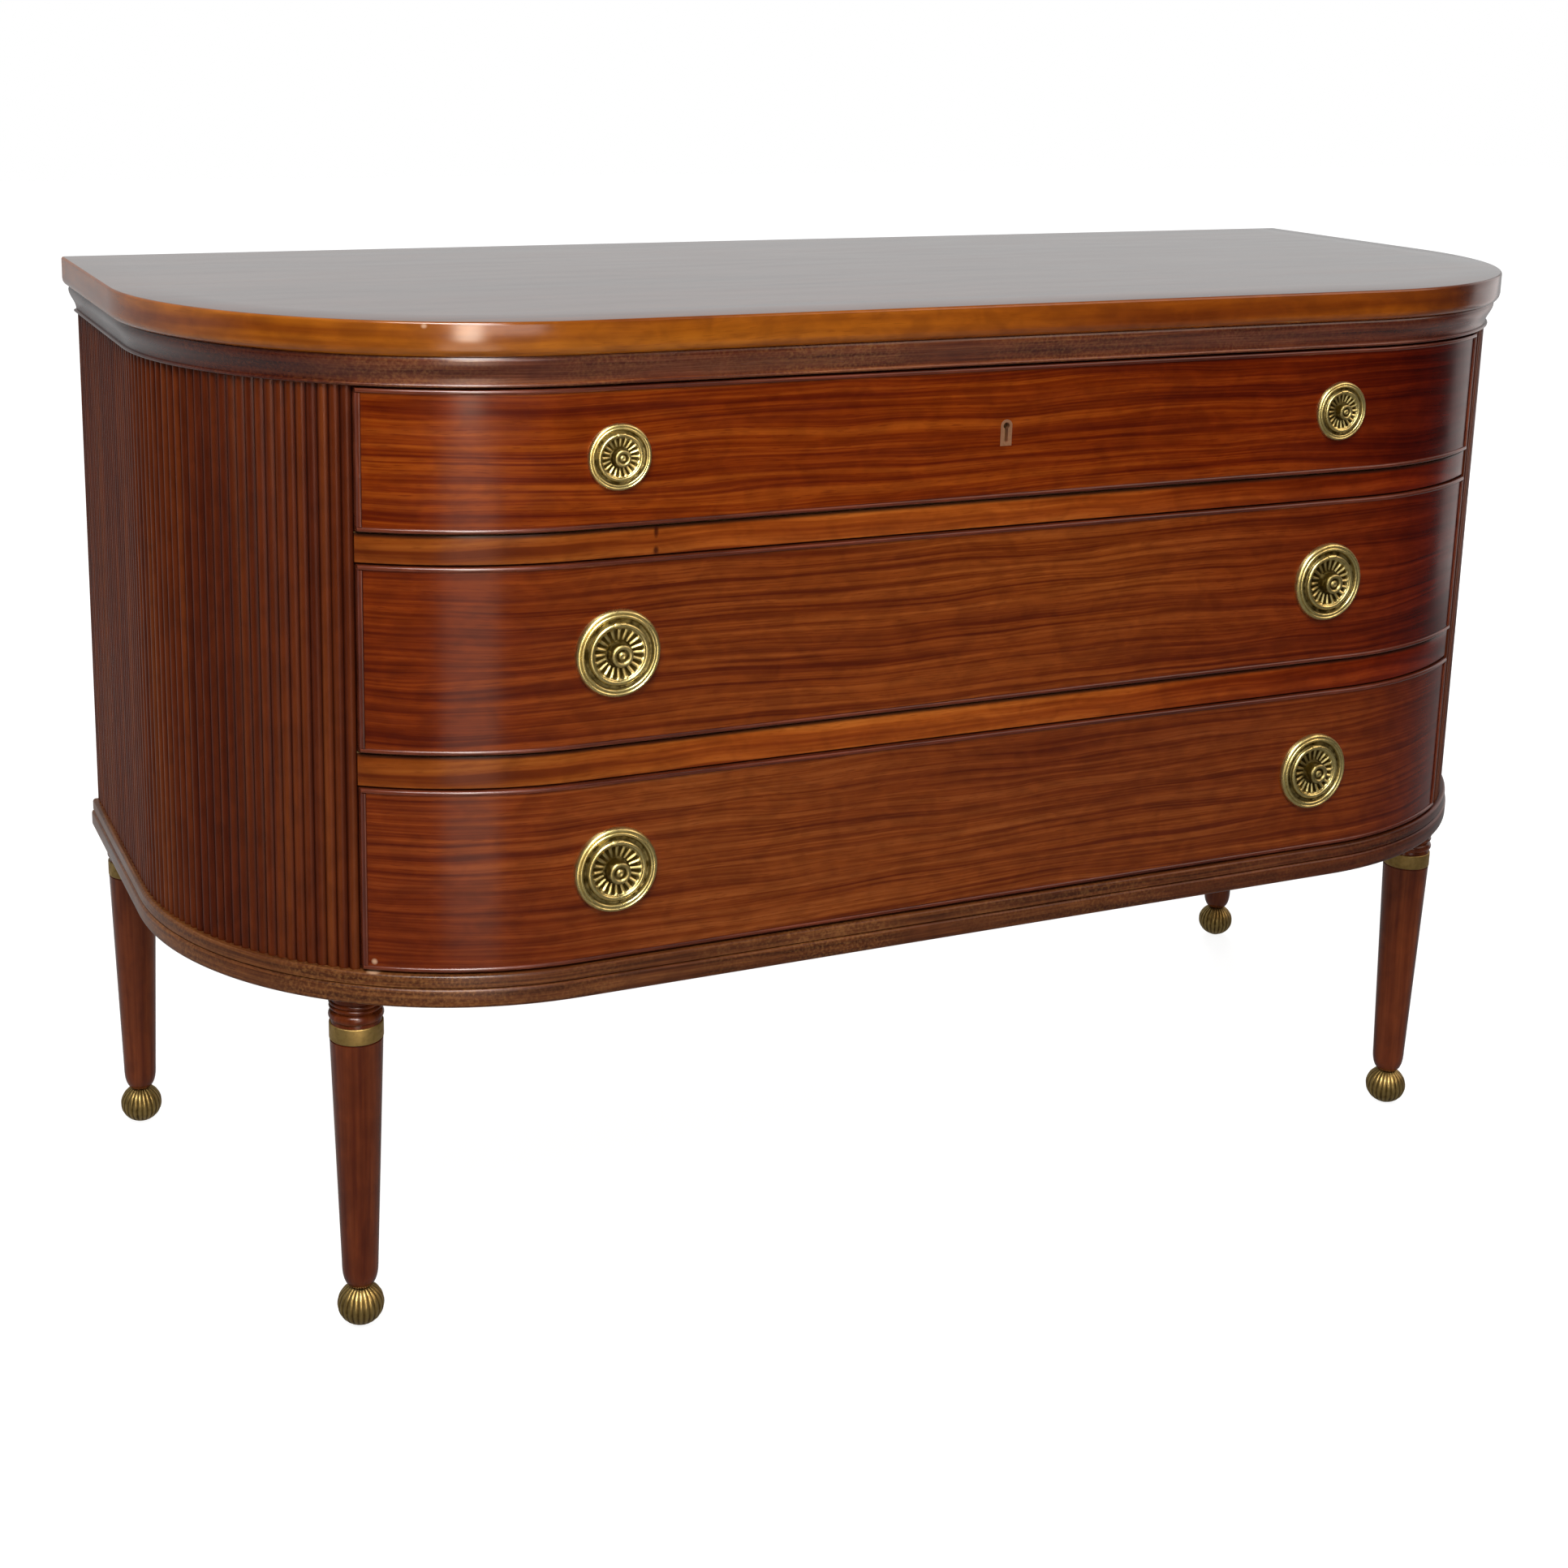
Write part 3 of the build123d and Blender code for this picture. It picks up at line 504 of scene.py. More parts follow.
def grain_frame(tree, grain, seed):
    """A vector whose first number runs along the grain: path for a sweep's own line, or an axis."""
    parts = split_up(tree, coordinates(tree, "UV" if grain == "path" else "Object"))
    order = {"path": "XY", "x": "XYZ", "y": "YXZ", "z": "ZXY"}[grain]
    along = node(tree, "ShaderNodeCombineXYZ",
                 {2: seed} | {number: parts[axis] for number, axis in enumerate(order)})
    return vector_math(tree, "ADD", along.outputs[0], (seed * 1.7, seed * 0.9, 0))


def stretched_noise(tree, vector, length, width, detail=2.0, distortion=0.0):
    """Noise whose spots are about this long along the grain and this wide across it."""
    scaled = vector_math(tree, "MULTIPLY", vector, (1 / length, 1 / width, 1 / width))
    return noise(tree, scaled, 1.0, detail, distortion)


def wood(name, tones, seed, grain="path", streak=(0.45, 5.5 * MM), wander=6 * MM, pores=0.5,
         roughness=0.2, gloss=0.15, coat=0.0, tinted=False, marks=()):
    """Polished wood: wandering streaks along the grain, a mottle, short dark pores and a gloss.

    tones are its dark, middle and light colours, and streak is a streak's length and width.
    """
    material, tree, shader = new_material(name)
    vector = grain_frame(tree, grain, seed)
    dark, middle, light = [shade(*tone) for tone in tones]
    length, width = streak
    drift = stretched_noise(tree, vector, length * 0.6, width * 14)
    shift = times(tree, calculated(tree, "SUBTRACT", drift, 0.5), 4 * wander)
    sideways = node(tree, "ShaderNodeCombineXYZ", {"Y": shift})
    bent = vector_math(tree, "ADD", vector, sideways.outputs[0])
    broad = stretched_noise(tree, bent, length, width)
    fine = stretched_noise(tree, bent, length / 3, width / 3)
    stripe = calculated(tree, "ADD", times(tree, broad, broad_share),
                        times(tree, fine, fine_share))
    colour = ramp(tree, stripe, (0.37, dark), (0.5, middle), (0.64, light))
    ripple = stretched_noise(tree, bent, *ripple_size, distortion=0.5)
    rippled = ramp(tree, ripple, (0.35, shade(190, 180, 175)), (0.62, white))
    colour = mixed(tree, mottle, colour, rippled, "MULTIPLY")
    patch = stretched_noise(tree, vector, *patch_size, detail=1.0)
    patch_share = mapped(tree, patch, 0.4, 0.7, 0.0, 0.45)
    colour = mixed(tree, patch_share, colour, shade(205, 165, 160), "MULTIPLY")
    pore = stretched_noise(tree, bent, *pore_size, detail=1.0)
    pore_mask = mapped(tree, pore, 0.6, 0.7)
    colour = mixed(tree, times(tree, pore_mask, pores), colour, dark)
    if tinted:
        shades = ramp(tree, attribute(tree, "tint"), (0.0, shade(228, 222, 222)), (1.0, white))
        colour = mixed(tree, 1.0, colour, shades, "MULTIPLY")
    for mark in marks:
        colour = mark(tree, colour)
    wear = stretched_noise(tree, vector, *wear_size, detail=3.0)
    relief = calculated(tree, "SUBTRACT", times(tree, fine, 0.5), times(tree, pore_mask, 0.6))
    feed(tree, shader, {
        "Base Color": colour,
        "Roughness": mapped(tree, wear, 0.3, 0.7, roughness * 0.85, roughness * 1.25),
        "Specular IOR Level": gloss,
        "Coat Weight": coat,
        "Coat Roughness": coat_roughness,
        "Normal": bumped(tree, relief, 0.06, 0.15 * MM),
    })
    return material


def metal(name, bright, dark, roughness, grimy=True):
    """Aged metal: tarnish in its hollows and in patches, with fine scratches."""
    material, tree, shader = new_material(name)
    place = coordinates(tree, "Object")
    tarnish = mapped(tree, noise(tree, place, 220.0, 3.0), 0.4, 0.75, 0.0, 0.45)
    if grimy:
        tarnish = calculated(tree, "ADD", tarnish, attribute(tree, "grime"), clamp=True)
    scratches = noise(tree, place, 900.0, 2.0)
    feed(tree, shader, {
        "Base Color": mixed(tree, tarnish, shade(*bright), shade(*dark)),
        "Metallic": 1.0,
        "Roughness": mapped(tree, tarnish, 0.0, 1.0, roughness, roughness + 0.3),
        "Normal": bumped(tree, scratches, 0.08, 0.1 * MM),
    })
    return material


# Marks of age, and painted shade and shadow, that change a wood's colour

def painted_groove_shade(tree, colour):
    """Paints shade in the grooves between reeds and leaves their crests light."""
    shades = ramp(tree, attribute(tree, "crest"), (0.0, shade(120, 90, 80)),
                  (0.35, shade(215, 205, 200)), (1.0, white))
    return mixed(tree, 1.0, colour, shades, "MULTIPLY")


def painted_shadow_and_grime(levels, depth):
    """Paints shadow and dirt on a rail just under each level, where the drawer above shades it and
    dirt gathers.
    """
    def apply(tree, colour):
        height = split_up(tree, coordinates(tree, "Object"))["Z"]
        for level in levels:
            near = mapped(tree, height, level - depth, level - depth * 0.3)
            under = calculated(tree, "LESS_THAN", height, level + MM)
            share = times(tree, times(tree, near, under), 0.85)
            colour = mixed(tree, share, colour, shade(40, 18, 8))
        return colour
    return apply


def flecked(tree, colour):
    """Scatters small golden flecks over a moulding, where its old polish is rubbed."""
    place = coordinates(tree, "Object")
    flecks = mapped(tree, noise(tree, place, 420.0, 3.0), 0.42, 0.72, 0.0, 0.42)
    clouds = mapped(tree, noise(tree, place, 9.0, 1.0), 0.3, 0.55)
    along = split_up(tree, coordinates(tree, "UV"))["X"]
    fewer = mapped(tree, along, -0.1, 0.3, 1.0, 0.3)
    share = times(tree, times(tree, flecks, clouds), fewer)
    return mixed(tree, share, colour, shade(150, 100, 52))


def scarred(tone, *scars):
    """Dents and chips of one colour: each has its place, and its reach on X, Y and Z in mm."""
    def apply(tree, colour):
        place = coordinates(tree, "Object")
        for centre, reach in scars:
            offset = vector_math(tree, "SUBTRACT", place, centre)
            scaled = vector_math(tree, "MULTIPLY", offset, [1 / (size * MM) for size in reach])
            away = vector_math(tree, "LENGTH", scaled, output="Value")
            colour = mixed(tree, mapped(tree, away, 0.4, 1.0, 0.85, 0.0), colour, shade(*tone))
        return colour
    return apply


def toned_along(from_u, to_u, *tone):
    """Turns a colour by degrees to a tone between two places along the front."""
    def apply(tree, colour):
        along = split_up(tree, coordinates(tree, "UV"))["X"]
        return mixed(tree, mapped(tree, along, from_u, to_u), colour, shade(*tone), "MULTIPLY")
    return apply


chip_tone = (190, 150, 118)
scar_tone = (52, 14, 4)
# Painted shade: the far right ends of the drawers and rails are darkened where the front turns away
# from the key lamp
corner_painted_shade = toned_along(0.36, 0.48, 215, 165, 165)
# The mouldings grow darker and redder towards the right end: partly the wood's own tone, partly
# painted shade
moulding_tone_and_shade = toned_along(0.0, 0.5, 205, 150, 160)
# Each drawer's veneer grows darker and redder towards the right: partly the veneer's own tone,
# partly painted shade where the light falls off. The top drawer's last tone darkens its far right
# as painted shade alone
drawer_veneers = {
    "top": wood(
        "top drawer veneer", ((84, 22, 2), (114, 42, 4), (140, 64, 12)), 1.3,
        marks=(toned_along(0.12, 0.46, 212, 130, 140), corner_painted_shade,
               toned_along(0.26, 0.38, 208, 195, 195))),
    "middle": wood(
        "middle drawer veneer", ((84, 28, 5), (114, 50, 12), (136, 68, 22)), 4.1,
        marks=(toned_along(0.1, 0.46, 212, 130, 110), corner_painted_shade,
               toned_along(-0.26, -0.44, 235, 200, 160))),
    "bottom": wood(
        "bottom drawer veneer", ((84, 30, 7), (113, 51, 15), (134, 70, 27)), 7.7,
        marks=(toned_along(0.2, 0.5, 240, 205, 165), corner_painted_shade,
               toned_along(-0.26, -0.44, 242, 212, 190),
               scarred(chip_tone, ((-0.4895, -0.199, base_high + 8 * MM), (2.4, 6, 2.8))))),
}
# The top's edge grows darker towards the right, partly its own tone and partly painted shade, and
# its far right end is darkened further by painted shade
top_wood = wood(
    "top edge veneer", ((122, 58, 4), (148, 80, 10), (172, 100, 18)), 2.2,
    streak=(0.5, 22 * MM), roughness=0.17, gloss=0.45,
    marks=(toned_along(-0.4, 0.6, 222, 195, 140), toned_along(0.36, 0.48, 160, 135, 115),
           scarred(chip_tone, ((-0.457, -0.2298, slab_high - 3 * MM), (2.4, 5, 2)))))
table_wood = wood(
    "table veneer", ((70, 34, 18), (96, 52, 30), (112, 66, 40)), 3.1, grain="x",
    streak=(0.8, 14 * MM), wander=14 * MM, roughness=0.16, gloss=0.5, coat=1.0)
# The rails grow darker and redder towards the right, partly their own tone and partly painted
# shade, and carry painted shadow with dirt just under each drawer
rail_wood = wood(
    "rail veneer", ((114, 46, 9), (146, 70, 19), (170, 93, 31)), 5.2,
    streak=(0.4, 9 * MM), gloss=0.12,
    marks=(toned_along(-0.05, 0.4, 190, 125, 110), corner_painted_shade,
           toned_along(-0.22, -0.4, 206, 204, 204), painted_shadow_and_grime(rail_tops, 3 * MM),
           scarred(scar_tone, ((-0.2884, front_y, rail_tops[1] - 4 * MM), (2.4, 9, 6)),
                   ((-0.2884, front_y, rail_tops[1] - 18 * MM), (2.8, 9, 4)))))
# The cornice's left end is darkened: painted shadow under the top
cornice_wood = wood(
    "cornice", ((72, 27, 10), (101, 48, 23), (124, 70, 38)), 6.4,
    streak=(0.2, 4 * MM), wander=1 * MM, roughness=0.24, gloss=0.5, pores=0.6,
    marks=(moulding_tone_and_shade, flecked, toned_along(-0.47, -0.56, 172, 132, 124),
           scarred(scar_tone, ((-0.5754, -0.1225, cornice_high - 1.5 * MM), (3.5, 6, 1.6)))))
base_wood = wood(
    "base moulding", ((62, 29, 10), (90, 47, 20), (112, 67, 32)), 4.6,
    streak=(0.2, 4 * MM), wander=1 * MM, roughness=0.3, gloss=0.22, pores=0.6,
    marks=(moulding_tone_and_shade, flecked,
           scarred(chip_tone, ((-0.4905, -0.2, base_high), (6, 6, 1.1)))))
bead_wood = wood(
    "cockbead", ((64, 24, 12), (98, 42, 22), (122, 60, 36)), 8.8,
    streak=(0.2, 3 * MM), wander=1 * MM, roughness=0.22, gloss=0.42)
reed_wood = wood(
    "reed", ((84, 32, 8), (98, 42, 12), (112, 54, 18)), 9.9, grain="z",
    streak=(0.8, 14 * MM), wander=3 * MM, roughness=0.3, gloss=0.1, pores=0.0, tinted=True,
    marks=(painted_groove_shade,))
leg_wood = wood(
    "leg", ((82, 32, 10), (100, 45, 16), (114, 56, 24)), 3.9, grain="z",
    streak=(0.4, 9 * MM), wander=3 * MM, gloss=0.25, pores=0.2)
inside_wood, side_wood, upright_wood = [
    wood(name, tones, seed, grain=grain, streak=(0.6, 12 * MM), roughness=0.6, pores=0.3)
    for name, tones, seed, grain in (
        ("inside wood", ((124, 92, 56), (158, 124, 80), (180, 146, 102)), 5.7, "x"),
        ("side wood", ((124, 92, 56), (156, 122, 78), (178, 144, 100)), 2.7, "y"),
        ("upright wood", ((116, 84, 50), (148, 114, 72), (170, 136, 94)), 6.1, "z"))
]
brass = metal("aged brass", (222, 202, 134), (64, 50, 16), 0.27)
plain_brass = metal("plain brass", (166, 138, 82), (78, 60, 28), 0.5, grimy=False)
foot_brass = metal("foot brass", (168, 142, 86), (84, 66, 32), 0.32)
liner_brass = metal("keyhole brass", (212, 158, 120), (104, 62, 42), 0.42, grimy=False)
iron = metal("lock iron", (120, 116, 110), (54, 50, 46), 0.45, grimy=False)

node_materials = {
    inside_wood: ["top_rail_front", "top_rail_back", "bottom_board", "back_boards",
                  "upper_rail", "lower_rail"]
                 + [f"{name}_drawer_{part}" for name in drawers
                    for part in ("front", "back", "bottom")],
    side_wood: ["kickers", "upper_runners", "lower_runners", "bottom_guides"]
               + [f"{name}_drawer_sides" for name in drawers],
    upright_wood: ["end_wall_left", "end_wall_right", "stile_left", "stile_right", "back_posts"],
    plain_brass: [f"{name}_pull_studs" for name in drawers],
    liner_brass: ["keyhole_liner"],
    iron: ["lock_case", "lock_bolt"],
}
for material, names in node_materials.items():
    for name in names:
        slots = frame["nodes"][name].data.materials
        slots.clear()
        slots.append(material)


# Top and mouldings

def make_top():
    """A D-shaped board with a small arris above and a larger round below."""
    inner = -30 * MM
    section = rounded(
        [(inner, slab_high), (overhang, slab_high), (overhang, slab_low), (inner, slab_low)],
        (0, 2.2 * MM, 7 * MM, 0),
    )
    vertices, faces, uvs = swept_skin(section)
    # The section's inner wall and its end caps give way to a whole top, bottom and back
    count = len(section)
    strips = [pair for number, pair in enumerate(zip(faces[:-2], uvs)) if (number + 1) % count]
    tops = list(range(0, len(vertices), count))
    bottoms = [top + count - 1 for top in tops]
    back = faces[-2] + faces[-1][::-1]
    wide = [(face, [vertices[corner][:2] for corner in face]) for face in (tops, bottoms, back)]
    mesh = edited(mesh_from(vertices, *zip(*strips, *wide)), wide_faces_split)
    piece = finish_piece(mesh, "top_board", top_wood, "carcase", ("top_slab",), 60)
    piece.data.materials.append(table_wood)
    for face in piece.data.polygons:
        if face.normal.z > 0.9:
            face.material_index = 1


def cornice_section():
    """An ogee over a small bead, that turns in again at the top."""
    reach, waist, steps = 6.4 * MM, 0.5 * MM, 16
    bead_foot, bead_reach, bead_radius, bead_height = 0.6 * MM, 1.2 * MM, 1.3 * MM, 3 * MM
    swell_rate, turn_start, turn_depth = 1.12, 0.86, 0.9 * MM
    ogee_low = cornice_low + bead_height
    section = [Vector((-facing, cornice_low)), Vector((bead_foot, cornice_low))]
    section += arc((bead_reach, cornice_low + 1.4 * MM), bead_radius, -75, 85, 6)
    for step in range(steps + 1):
        share = step / steps
        swell = (1 - math.cos(math.pi * min(share * swell_rate, 1))) / 2
        turn_in = turn_depth * max(0, (share - turn_start) / (1 - turn_start)) ** 2
        section.append(Vector((waist + (reach - waist) * swell - turn_in,
                               ogee_low + (cornice_high - ogee_low) * share)))
    return section + [Vector((-facing, cornice_high))]


def base_section():
    """A broad rounded band under a narrow strip, with a small quirk between them."""
    band, strip, quirk = 5.5 * MM, 4.2 * MM, 0.8 * MM
    band_high = base_low + 15 * MM
    neck, strip_low = strip - 2 * quirk, band_high + quirk
    return rounded(
        [(-facing, base_low), (band, base_low), (band, band_high), (neck, band_high),
         (neck, strip_low), (strip, strip_low), (strip, base_high), (-facing, base_high)],
        (0, 3 * MM, 3 * MM, 0, 0, 0, 2.5 * MM, 0),
    )


def make_mouldings():
    for name, section, material in (("cornice", cornice_section(), cornice_wood),
                                    ("base_moulding", base_section(), base_wood)):
        finish_piece(sweep(section), name, material, "carcase",
                     [f"{name}_{part}" for part in ("front", "left", "right")], 40)


# Reeds: half-round bars set side by side from the drawers to the back

def reed_bar(low, high):
    """One reed. Its crest attribute tells how far each vertex stands out of the groove."""
    half, steps = reed_pitch / 2, 10
    foot_half = half - 2.6 * MM
    shares = [1 - 2 * step / steps for step in range(steps + 1)]
    section = [(half * share, -reed_depth * share ** 2) for share in shares]
    section += [(-foot_half, -facing), (foot_half, -facing)]
    crests = [1 - share ** 2 for share in shares] + [0, 0]
    mesh = mesh_from(*skin([[(x, y, height) for x, y in section] for height in (low, high)]))
    crest = mesh.attributes.new("crest", "FLOAT", "POINT")
    for value, height in zip(crest.data, crests * 2):
        value.value = height
    return mesh


def make_reeds():
    tree = reed_tree()
    steps = 60
    half_step = reed_pitch / 2
    first_angle = math.asin((opening_half - corner_x) / (corner_radius - reed_depth))
    full_angle = math.pi / 2 - first_angle
    length = full_angle * corner_radius + back_y - corner_y
    margin = half_step / corner_radius
    for side, name in ((-1, "left"), (1, "right")):
        points = []
        for step in range(steps + 1):
            angle = first_angle + margin + (full_angle - margin) * step / steps
            points.append((side * (corner_x + corner_radius * math.sin(angle)),
                           corner_y - corner_radius * math.cos(angle)))
        points.append((side * body_half, back_y - half_step))
        if side > 0:
            points.reverse()
        curve = bpy.data.curves.new("path", "CURVE")
        spline = curve.splines.new("POLY")
        spline.points.add(len(points) - 1)
        for point, (x, y) in zip(spline.points, points):
            point.co = (x, y, 0, 1)
        path = placed("path", curve)
        low, high = span(f"reeding_{name}", 2)
        reeds = run_nodes(reed_bar(low, high), tree, {
            "Path": path, "Reeds": round(length / reed_pitch), "Seed": 3 + side,
            "Material": reed_wood,
        })
        bpy.data.objects.remove(path)
        finish_piece(reeds, f"reeds_{name}", reed_wood, "carcase",
                     (f"reeding_{name}",), 50)


# Veneers, rails and cockbeads on the front

def strip_section(outer, inner, low, high, nose=0):
    return rounded([(inner, low), (outer, low), (outer, high), (inner, high)], (0, nose, nose, 0))


def make_rails():
    for name in ("upper", "lower"):
        low, high = span(f"{name}_rail", 2)
        section = strip_section(veneer_proud - rail_recess, -rail_recess - veneer_depth,
                                low, high, 0.2 * MM)
        finish_piece(sweep(section, 2, opening_half), f"{name}_rail_veneer", rail_wood,
                     "carcase")


def line_y(reach, x):
    """Where a line that stands out by reach from the corner's curve passes x."""
    return corner_y - math.sqrt((corner_radius + reach) ** 2 - (abs(x) - corner_x) ** 2)


def upright_bead(side, low, high):
    """The cockbead up one end of a drawer, square in plan to the drawer's end."""
    steps = 8
    outline = [(drawer_half, -bead_depth)]
    for step in range(steps + 1):
        angle = math.pi * step / steps
        outline.append((drawer_half - bead_thickness * (1 - math.cos(angle)) / 2,
                        bead_proud - bead_thickness / 2 * (1 - math.sin(angle))))
    outline.append((drawer_half - bead_thickness, -bead_depth))
    vertices, faces = skin([[(side * x, line_y(reach, x), height) for x, reach in outline]
                            for height in (low, high)])
    uvs = [[(vertices[corner][2], vertices[corner][0]) for corner in face] for face in faces]
    return mesh_from(vertices, faces, uvs)


def without(mesh, cutter):
    """The mesh with the cutter's shape taken out of it."""
    pair = [placed(name, edited(data, faced_outwards))
            for name, data in (("body", mesh), ("cutter", cutter))]
    cut = pair[0].modifiers.new("cut", "BOOLEAN")
    cut.object = pair[1]
    cut.operation = "DIFFERENCE"
    cut.solver = "EXACT"
    graph = bpy.context.evaluated_depsgraph_get()
    result = bpy.data.meshes.new_from_object(pair[0].evaluated_get(graph))
    for each in pair:
        bpy.data.objects.remove(each)
    return result


def arched_block(low, high, depth):
    """A block round the keyhole liner: an arch over a square foot, as deep as asked each way."""
    half = (high.x - low.x) / 2
    arch = arc(((low.x + high.x) / 2, high.z - half), half, 0, 180, 24)
    outline = [(high.x, low.z), *arch, (low.x, low.z)]
    return mesh_from(*skin([[(x, front_y + way * depth, z) for x, z in outline]
                            for way in (-1, 1)]))


def make_drawer_faces():
    for name in drawers:
        body = f"{name}_drawer"
        low, high = span(f"{name}_drawer_beading", 2)
        inner_low, inner_high = low + bead_thickness, high - bead_thickness
        section = strip_section(veneer_proud, -veneer_depth, inner_low, inner_high)
        veneer = sweep(section, 2, drawer_half - bead_thickness)
        if name == "top":
            veneer = without(veneer, arched_block(*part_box("keyhole_liner"), 5 * MM))
        finish_piece(veneer, f"{name}_drawer_veneer", drawer_veneers[name], body)
        strips = []
        for strip_low in (low, inner_high):
            section = strip_section(bead_proud, -bead_depth, strip_low,
                                    strip_low + bead_thickness, bead_thickness * 0.46)
            strips.append(sweep(section, 2, drawer_half))
        strips += [upright_bead(side, inner_low, inner_high) for side in (-1, 1)]
        finish_piece(joined(strips), f"{name}_drawer_cockbeads", bead_wood, body,
                     (f"{name}_drawer_beading",), 50)


# Legs, collars and ball feet

leg_sides = 72
ball_lobes, ball_sides, ball_bulge = 24, 216, 1.07


def leg_profile():
    """Radius and height of a turned leg in millimetres, from its spigot down to its tip."""
    base = base_low / MM
    profile = [(11, base + 18), (11, base), (19.6, base)]
    # Three rings, the lowest of them the largest, and the band that carries the collar
    profile += arc((19, 267.8), 1.6, 80, -75, 8) + [(19, 265.8)]
    profile += arc((18.9, 264), 1.5, 70, -75, 8) + [(18.9, 262)]
    profile += arc((16.6, 257), 4.2, 65, -60, 12) + [(19.3, 251), (19.3, 237)]
    # The taper and the rounded tip over the ball
    steps = 8
    profile += [(20, 236.9)]
    profile += [(20 - 6 * step / steps, 237 - 184 * step / steps) for step in range(1, steps + 1)]
    profile += [(13.9, 48.5), (13.7, 45), (13.2, 41.5), (12.4, 38.4), (11.3, 35.8),
                (9.8, 33.6), (8.4, 32.4), (4.5, 32)]
    return profile


def leg_foot(corner):
    """The place on the floor under the middle of a leg."""
    low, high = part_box(f"leg_{corner}")
    return Vector(((low.x + high.x) / 2, (low.y + high.y) / 2, 0))


def make_legs():
    profile = [(radius * MM, height * MM) for radius, height in leg_profile()]
    for corner in leg_corners:
        leg = lathe(profile, leg_sides, leg_foot(corner))
        finish_piece(leg, f"turned_leg_{corner}", leg_wood, "carcase",
                     (f"leg_{corner}",), 40)


def make_collars_and_feet():
    inner, outer, edge = 19.3 * MM, 20.4 * MM, 0.8 * MM
    low, high = span("leg_collars", 2)
    section = rounded([(inner, low), (outer, low), (outer, high), (inner, high)],
                      (0, edge, edge, 0))
    collars = [lathe(section, leg_sides, leg_foot(corner)) for corner in leg_corners]
    finish_piece(joined(collars), "brass_collars", plain_brass, "carcase",
                 ("leg_collars",), 50)
    # The ball's radii and heights in millimetres
    ball = [(0.5, 32.2), (7.5, 32.2)]
    ball += [(point.x * ball_bulge, point.y) for point in arc((0, 16.6), 16.8, 60, -70, 40)]
    ball += [(5.4, 0.3), (4.9, 0), (0.5, 0)]
    profile = [(radius * MM, height * MM) for radius, height in ball]
    tree = gadroon_tree()
    feet = []
    for corner in leg_corners:
        lobed = run_nodes(lathe(profile, ball_sides, (0, 0, 0)), tree, {
            "Lobes": ball_lobes, "Depth": 0.8 * MM, "Foot": 1.5 * MM, "Fade": 5 * MM,
            "Material": foot_brass,
        })
        lobed.transform(Matrix.Translation(leg_foot(corner)))
        feet.append(lobed)
    finish_piece(joined(feet), "gadrooned_feet", foot_brass, "carcase",
                 ("ball_feet",), 60)


# Ring pulls, whose sizes are shares of the plate's radius

plate_sides, knuckle_sides = 120, 24
bail_swell = 1.08
rib_count = 20
rib_inner, rib_outer = 0.32, 0.6
knuckle_half, knuckle_end, knuckle_middle = 0.133, 0.062, 0.07
plate_outline = (
    # Boss and well
    (0.02, 0.315), (0.05, 0.33), (0.08, 0.315), (0.1, 0.29), (0.14, 0.29), (0.16, 0.33),
    (0.2, 0.345), (0.235, 0.335), (0.262, 0.3), (0.275, 0.25), (0.27, 0.14), (0.29, 0.06),
    (0.34, 0.045), (0.5, 0.05),
    # Lip
    (0.56, 0.06), (0.575, 0.1), (0.595, 0.125), (0.62, 0.13), (0.65, 0.12), (0.69, 0.095),
    # Channel
    (0.7, 0.06), (0.72, 0.036), (0.78, 0.036), (0.8, 0.05),
    # Rim
    (0.81, 0.1), (0.825, 0.128), (0.85, 0.138), (0.875, 0.128), (0.885, 0.112), (0.9, 0.112),
    (0.92, 0.13), (0.945, 0.128), (0.97, 0.11), (0.99, 0.07), (1.0, 0.03), (1.0, 0),
)


def pull_frame(name):
    """The centre of each plate on the drawer's face, and the plate's radius."""
    low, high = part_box(f"{name}_pull_plates")
    radius = (high.z - low.z) / 2
    height = (high.z + low.z) / 2
    return [Vector((side * (high.x - radius), front_y - veneer_proud, height))
            for side in (-1, 1)], radius


def rib_mesh(radius):
    """One rib of the rosette, that widens into the lip so that each gap has a round end."""
    steps, flare_start = 8, 0.84
    rings = []
    for step in range(steps + 1):
        share = step / steps
        reach = (rib_inner + (rib_outer - rib_inner) * share) * radius
        slim = 0.6 - 0.24 * share
        flare = min(max(0, (share - flare_start) / (1 - flare_start)), 1)
        width = slim + (1 - slim) * (1 - math.sqrt(1 - flare ** 2))
        half_angle = math.pi / rib_count * width
        x, z = reach * math.sin(half_angle), reach * math.cos(half_angle)
        height = (0.06 + 0.05 * share) * radius
        foot, crown = 0.03 * radius, height + 0.02 * radius
        rings.append([(x, -foot, z), (x, -height, z), (0, -crown, z), (-x, -height, z),
                      (-x, -foot, z)])
    return mesh_from(*skin(rings))


def mark_grime(mesh, centres, radius):
    """Stores how deep each vertex of a plate lies, which the brass darkens by."""
    boss_reach, well_reach, rim_reach = 0.28, 0.57, 0.82
    stored = mesh.attributes.new("grime", "FLOAT", "POINT")
    for vertex, value in zip(mesh.vertices, stored.data):
        centre = min(centres, key=lambda point: (vertex.co - point).length)
        reach = math.hypot(vertex.co.x - centre.x, vertex.co.z - centre.z) / radius
        height = (centre.y - vertex.co.y) / radius
        deep = max(0.0, min(1.0, (0.1 - height) / 0.05))
        if reach < boss_reach:
            value.value = 0.35 if height > 0.3 else 0.9
        elif reach < rim_reach:
            value.value = deep * (1.0 if reach < well_reach else 0.7)
        else:
            value.value = 0.0


